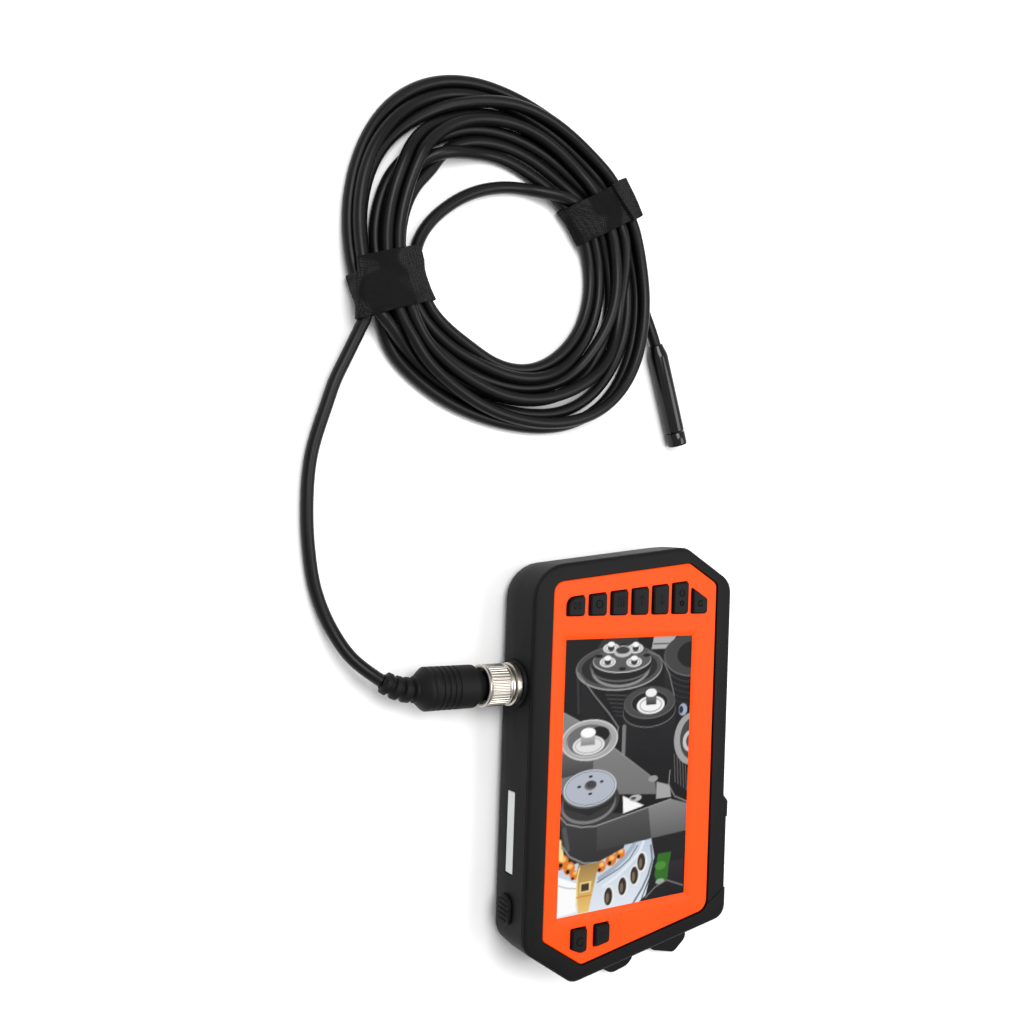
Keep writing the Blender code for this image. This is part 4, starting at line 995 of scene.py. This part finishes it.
def soften(widths):
    """Joins the split triangles of each CAD node that shows, shades it smooth and rounds its sharp edges."""
    group = bpy.data.node_groups.new("soften", "GeometryNodeTree")
    group.interface.new_socket("Geometry", in_out="INPUT", socket_type="NodeSocketGeometry")
    group.interface.new_socket("Geometry", in_out="OUTPUT", socket_type="NodeSocketGeometry")
    angle = add_node(group, "GeometryNodeInputMeshEdgeAngle").outputs["Unsigned Angle"]
    steep = add_node(
        group,
        "FunctionNodeCompare",
        {0: angle, 1: math.radians(33)},
        data_type="FLOAT",
        operation="GREATER_THAN",
    ).outputs["Result"]
    chain = [
        add_node(group, "NodeGroupInput"),
        add_node(group, "GeometryNodeRemoveAttribute", {"Name": "custom_normal"}),
        add_node(group, "GeometryNodeMergeByDistance", {"Distance": 0.000002}),
        add_node(group, "GeometryNodeSetShadeSmooth"),
        add_node(
            group,
            "GeometryNodeSetShadeSmooth",
            {"Shade Smooth": False, "Selection": steep},
            domain="EDGE",
        ),
        add_node(group, "NodeGroupOutput"),
    ]
    for before, after in zip(chain, chain[1:]):
        group.links.new(before.outputs["Geometry"], after.inputs["Geometry"])
    for name, width in widths.items():
        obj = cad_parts[name]
        obj.modifiers.new("soften", "NODES").node_group = group
        if width:
            bevel = obj.modifiers.new("edges", "BEVEL")
            bevel.width = width
            bevel.segments = 2
            bevel.limit_method = "ANGLE"
            bevel.angle_limit = math.radians(38)
            bevel.use_clamp_overlap = True


# ---- The whole object ----
make_stage()

cable_black = moulded(
    "cable_black", (0.003, 0.003, 0.0034), 0.36, grain=900.0, depth=0.00003, strength=0.12, lighter=1.5,
    specular=0.19,
)
case_black = moulded(
    "case_black", (0.0044, 0.0044, 0.0048), 0.52, grain=4200.0, depth=0.00002, strength=0.5, specular=0.11
)
orange = moulded(
    "panel_orange", (0.93, 0.066, 0.003), 0.45, grain=2600.0, depth=0.00001, strength=0.25, lighter=1.06,
    specular=0.12,
)
rubber = moulded(
    "rubber_black", (0.0045, 0.0045, 0.0048), 0.55, grain=5000.0, depth=0.00002, strength=0.4,
    specular=0.13,
)
gloss = moulded(
    "gloss_black", (0.003, 0.003, 0.0035), 0.14, grain=300.0, depth=0.00001, strength=0.05, spread=0.04,
    specular=0.35,
)
nickel = moulded(
    "nickel", (0.52, 0.49, 0.44), 0.30, grain=2500.0, depth=0.00001, strength=0.15, metallic=1.0,
    lighter=1.08,
)
steel = moulded(
    "steel", (0.42, 0.42, 0.43), 0.38, grain=3000.0, depth=0.00001, strength=0.3, metallic=1.0,
    lighter=1.1,
)
board = moulded("board_green", (0.01, 0.09, 0.03), 0.45, grain=900.0, strength=0.3, lighter=1.4)
diffuser = moulded("light_diffuser", (0.60, 0.62, 0.62), 0.35, grain=1500.0, strength=0.2, lighter=1.1)
foil = moulded("battery_foil", (0.30, 0.30, 0.32), 0.42, grain=500.0, strength=0.5, metallic=0.6, lighter=1.2)
fabric = hooked_tape()
dark_glass = moulded("dark_glass", (0.010, 0.011, 0.013), 0.06, grain=200.0, strength=0.02, spread=0.02)

for names, material in (
    (("rear_shell", "front_frame", "stand"), case_black),
    (("front_panel",), orange),
    ([f"key_{i}" for i in range(1, 10)], rubber),
    (("port_cover", "switch_knob", "socket_washer", "plug_body", "strain_relief"), rubber),
    (("socket_shell", "coupling_nut", "probe_light_ring"), nickel),
    (("plug_collar", "socket_insert", "memory_card", "probe_housing", "probe_cap"), gloss),
    (("port_cover_pin", "stand_pin", "socket_nut", "usb_port", "card_slot", "switch_body"), steel),
    ([f"case_screw_{i}" for i in range(1, 5)], steel),
    (("main_board", "upper_key_board", "lower_key_board", "light_board", "port_board"), board),
    (("battery_pack", "display_panel"), foil),
    (("light_strip",), diffuser),
    (("screen_glass", "probe_lens"), dark_glass),
    (("strap_1", "strap_2"), fabric),
):
    for name in names:
        paint(name, material)

cable, route, cable_length = make_cable(cable_black)
straps = []
for name, angle, widest, layer in STRAPS:
    straps += make_strap(name, angle, widest, layer, route, fabric)
nut = make_nut(nickel)
grip = make_grip(rubber)
relief = make_relief(rubber)
probe = make_probe(gloss, nickel, dark_glass)
make_screen()
make_icons(rubber)
make_switch_ribs(rubber)

# How wide the rounding is on each CAD node that shows. 0 only smooths the shading.
edge_widths = {
    "rear_shell": 0.0003, "front_frame": 0.0002, "front_panel": 0.00015, "port_cover": 0.0003,
    "stand": 0.0004, "switch_knob": 0.0003, "light_strip": 0.0003,
}
for i in range(1, 10):
    edge_widths[f"key_{i}"] = 0.0002
for name in ("socket_washer", "socket_shell", "plug_collar", "socket_insert", "stand_pin", "port_cover_pin"):
    edge_widths[name] = 0.0
for i in range(1, 5):
    edge_widths[f"case_screw_{i}"] = 0.0
soften(edge_widths)
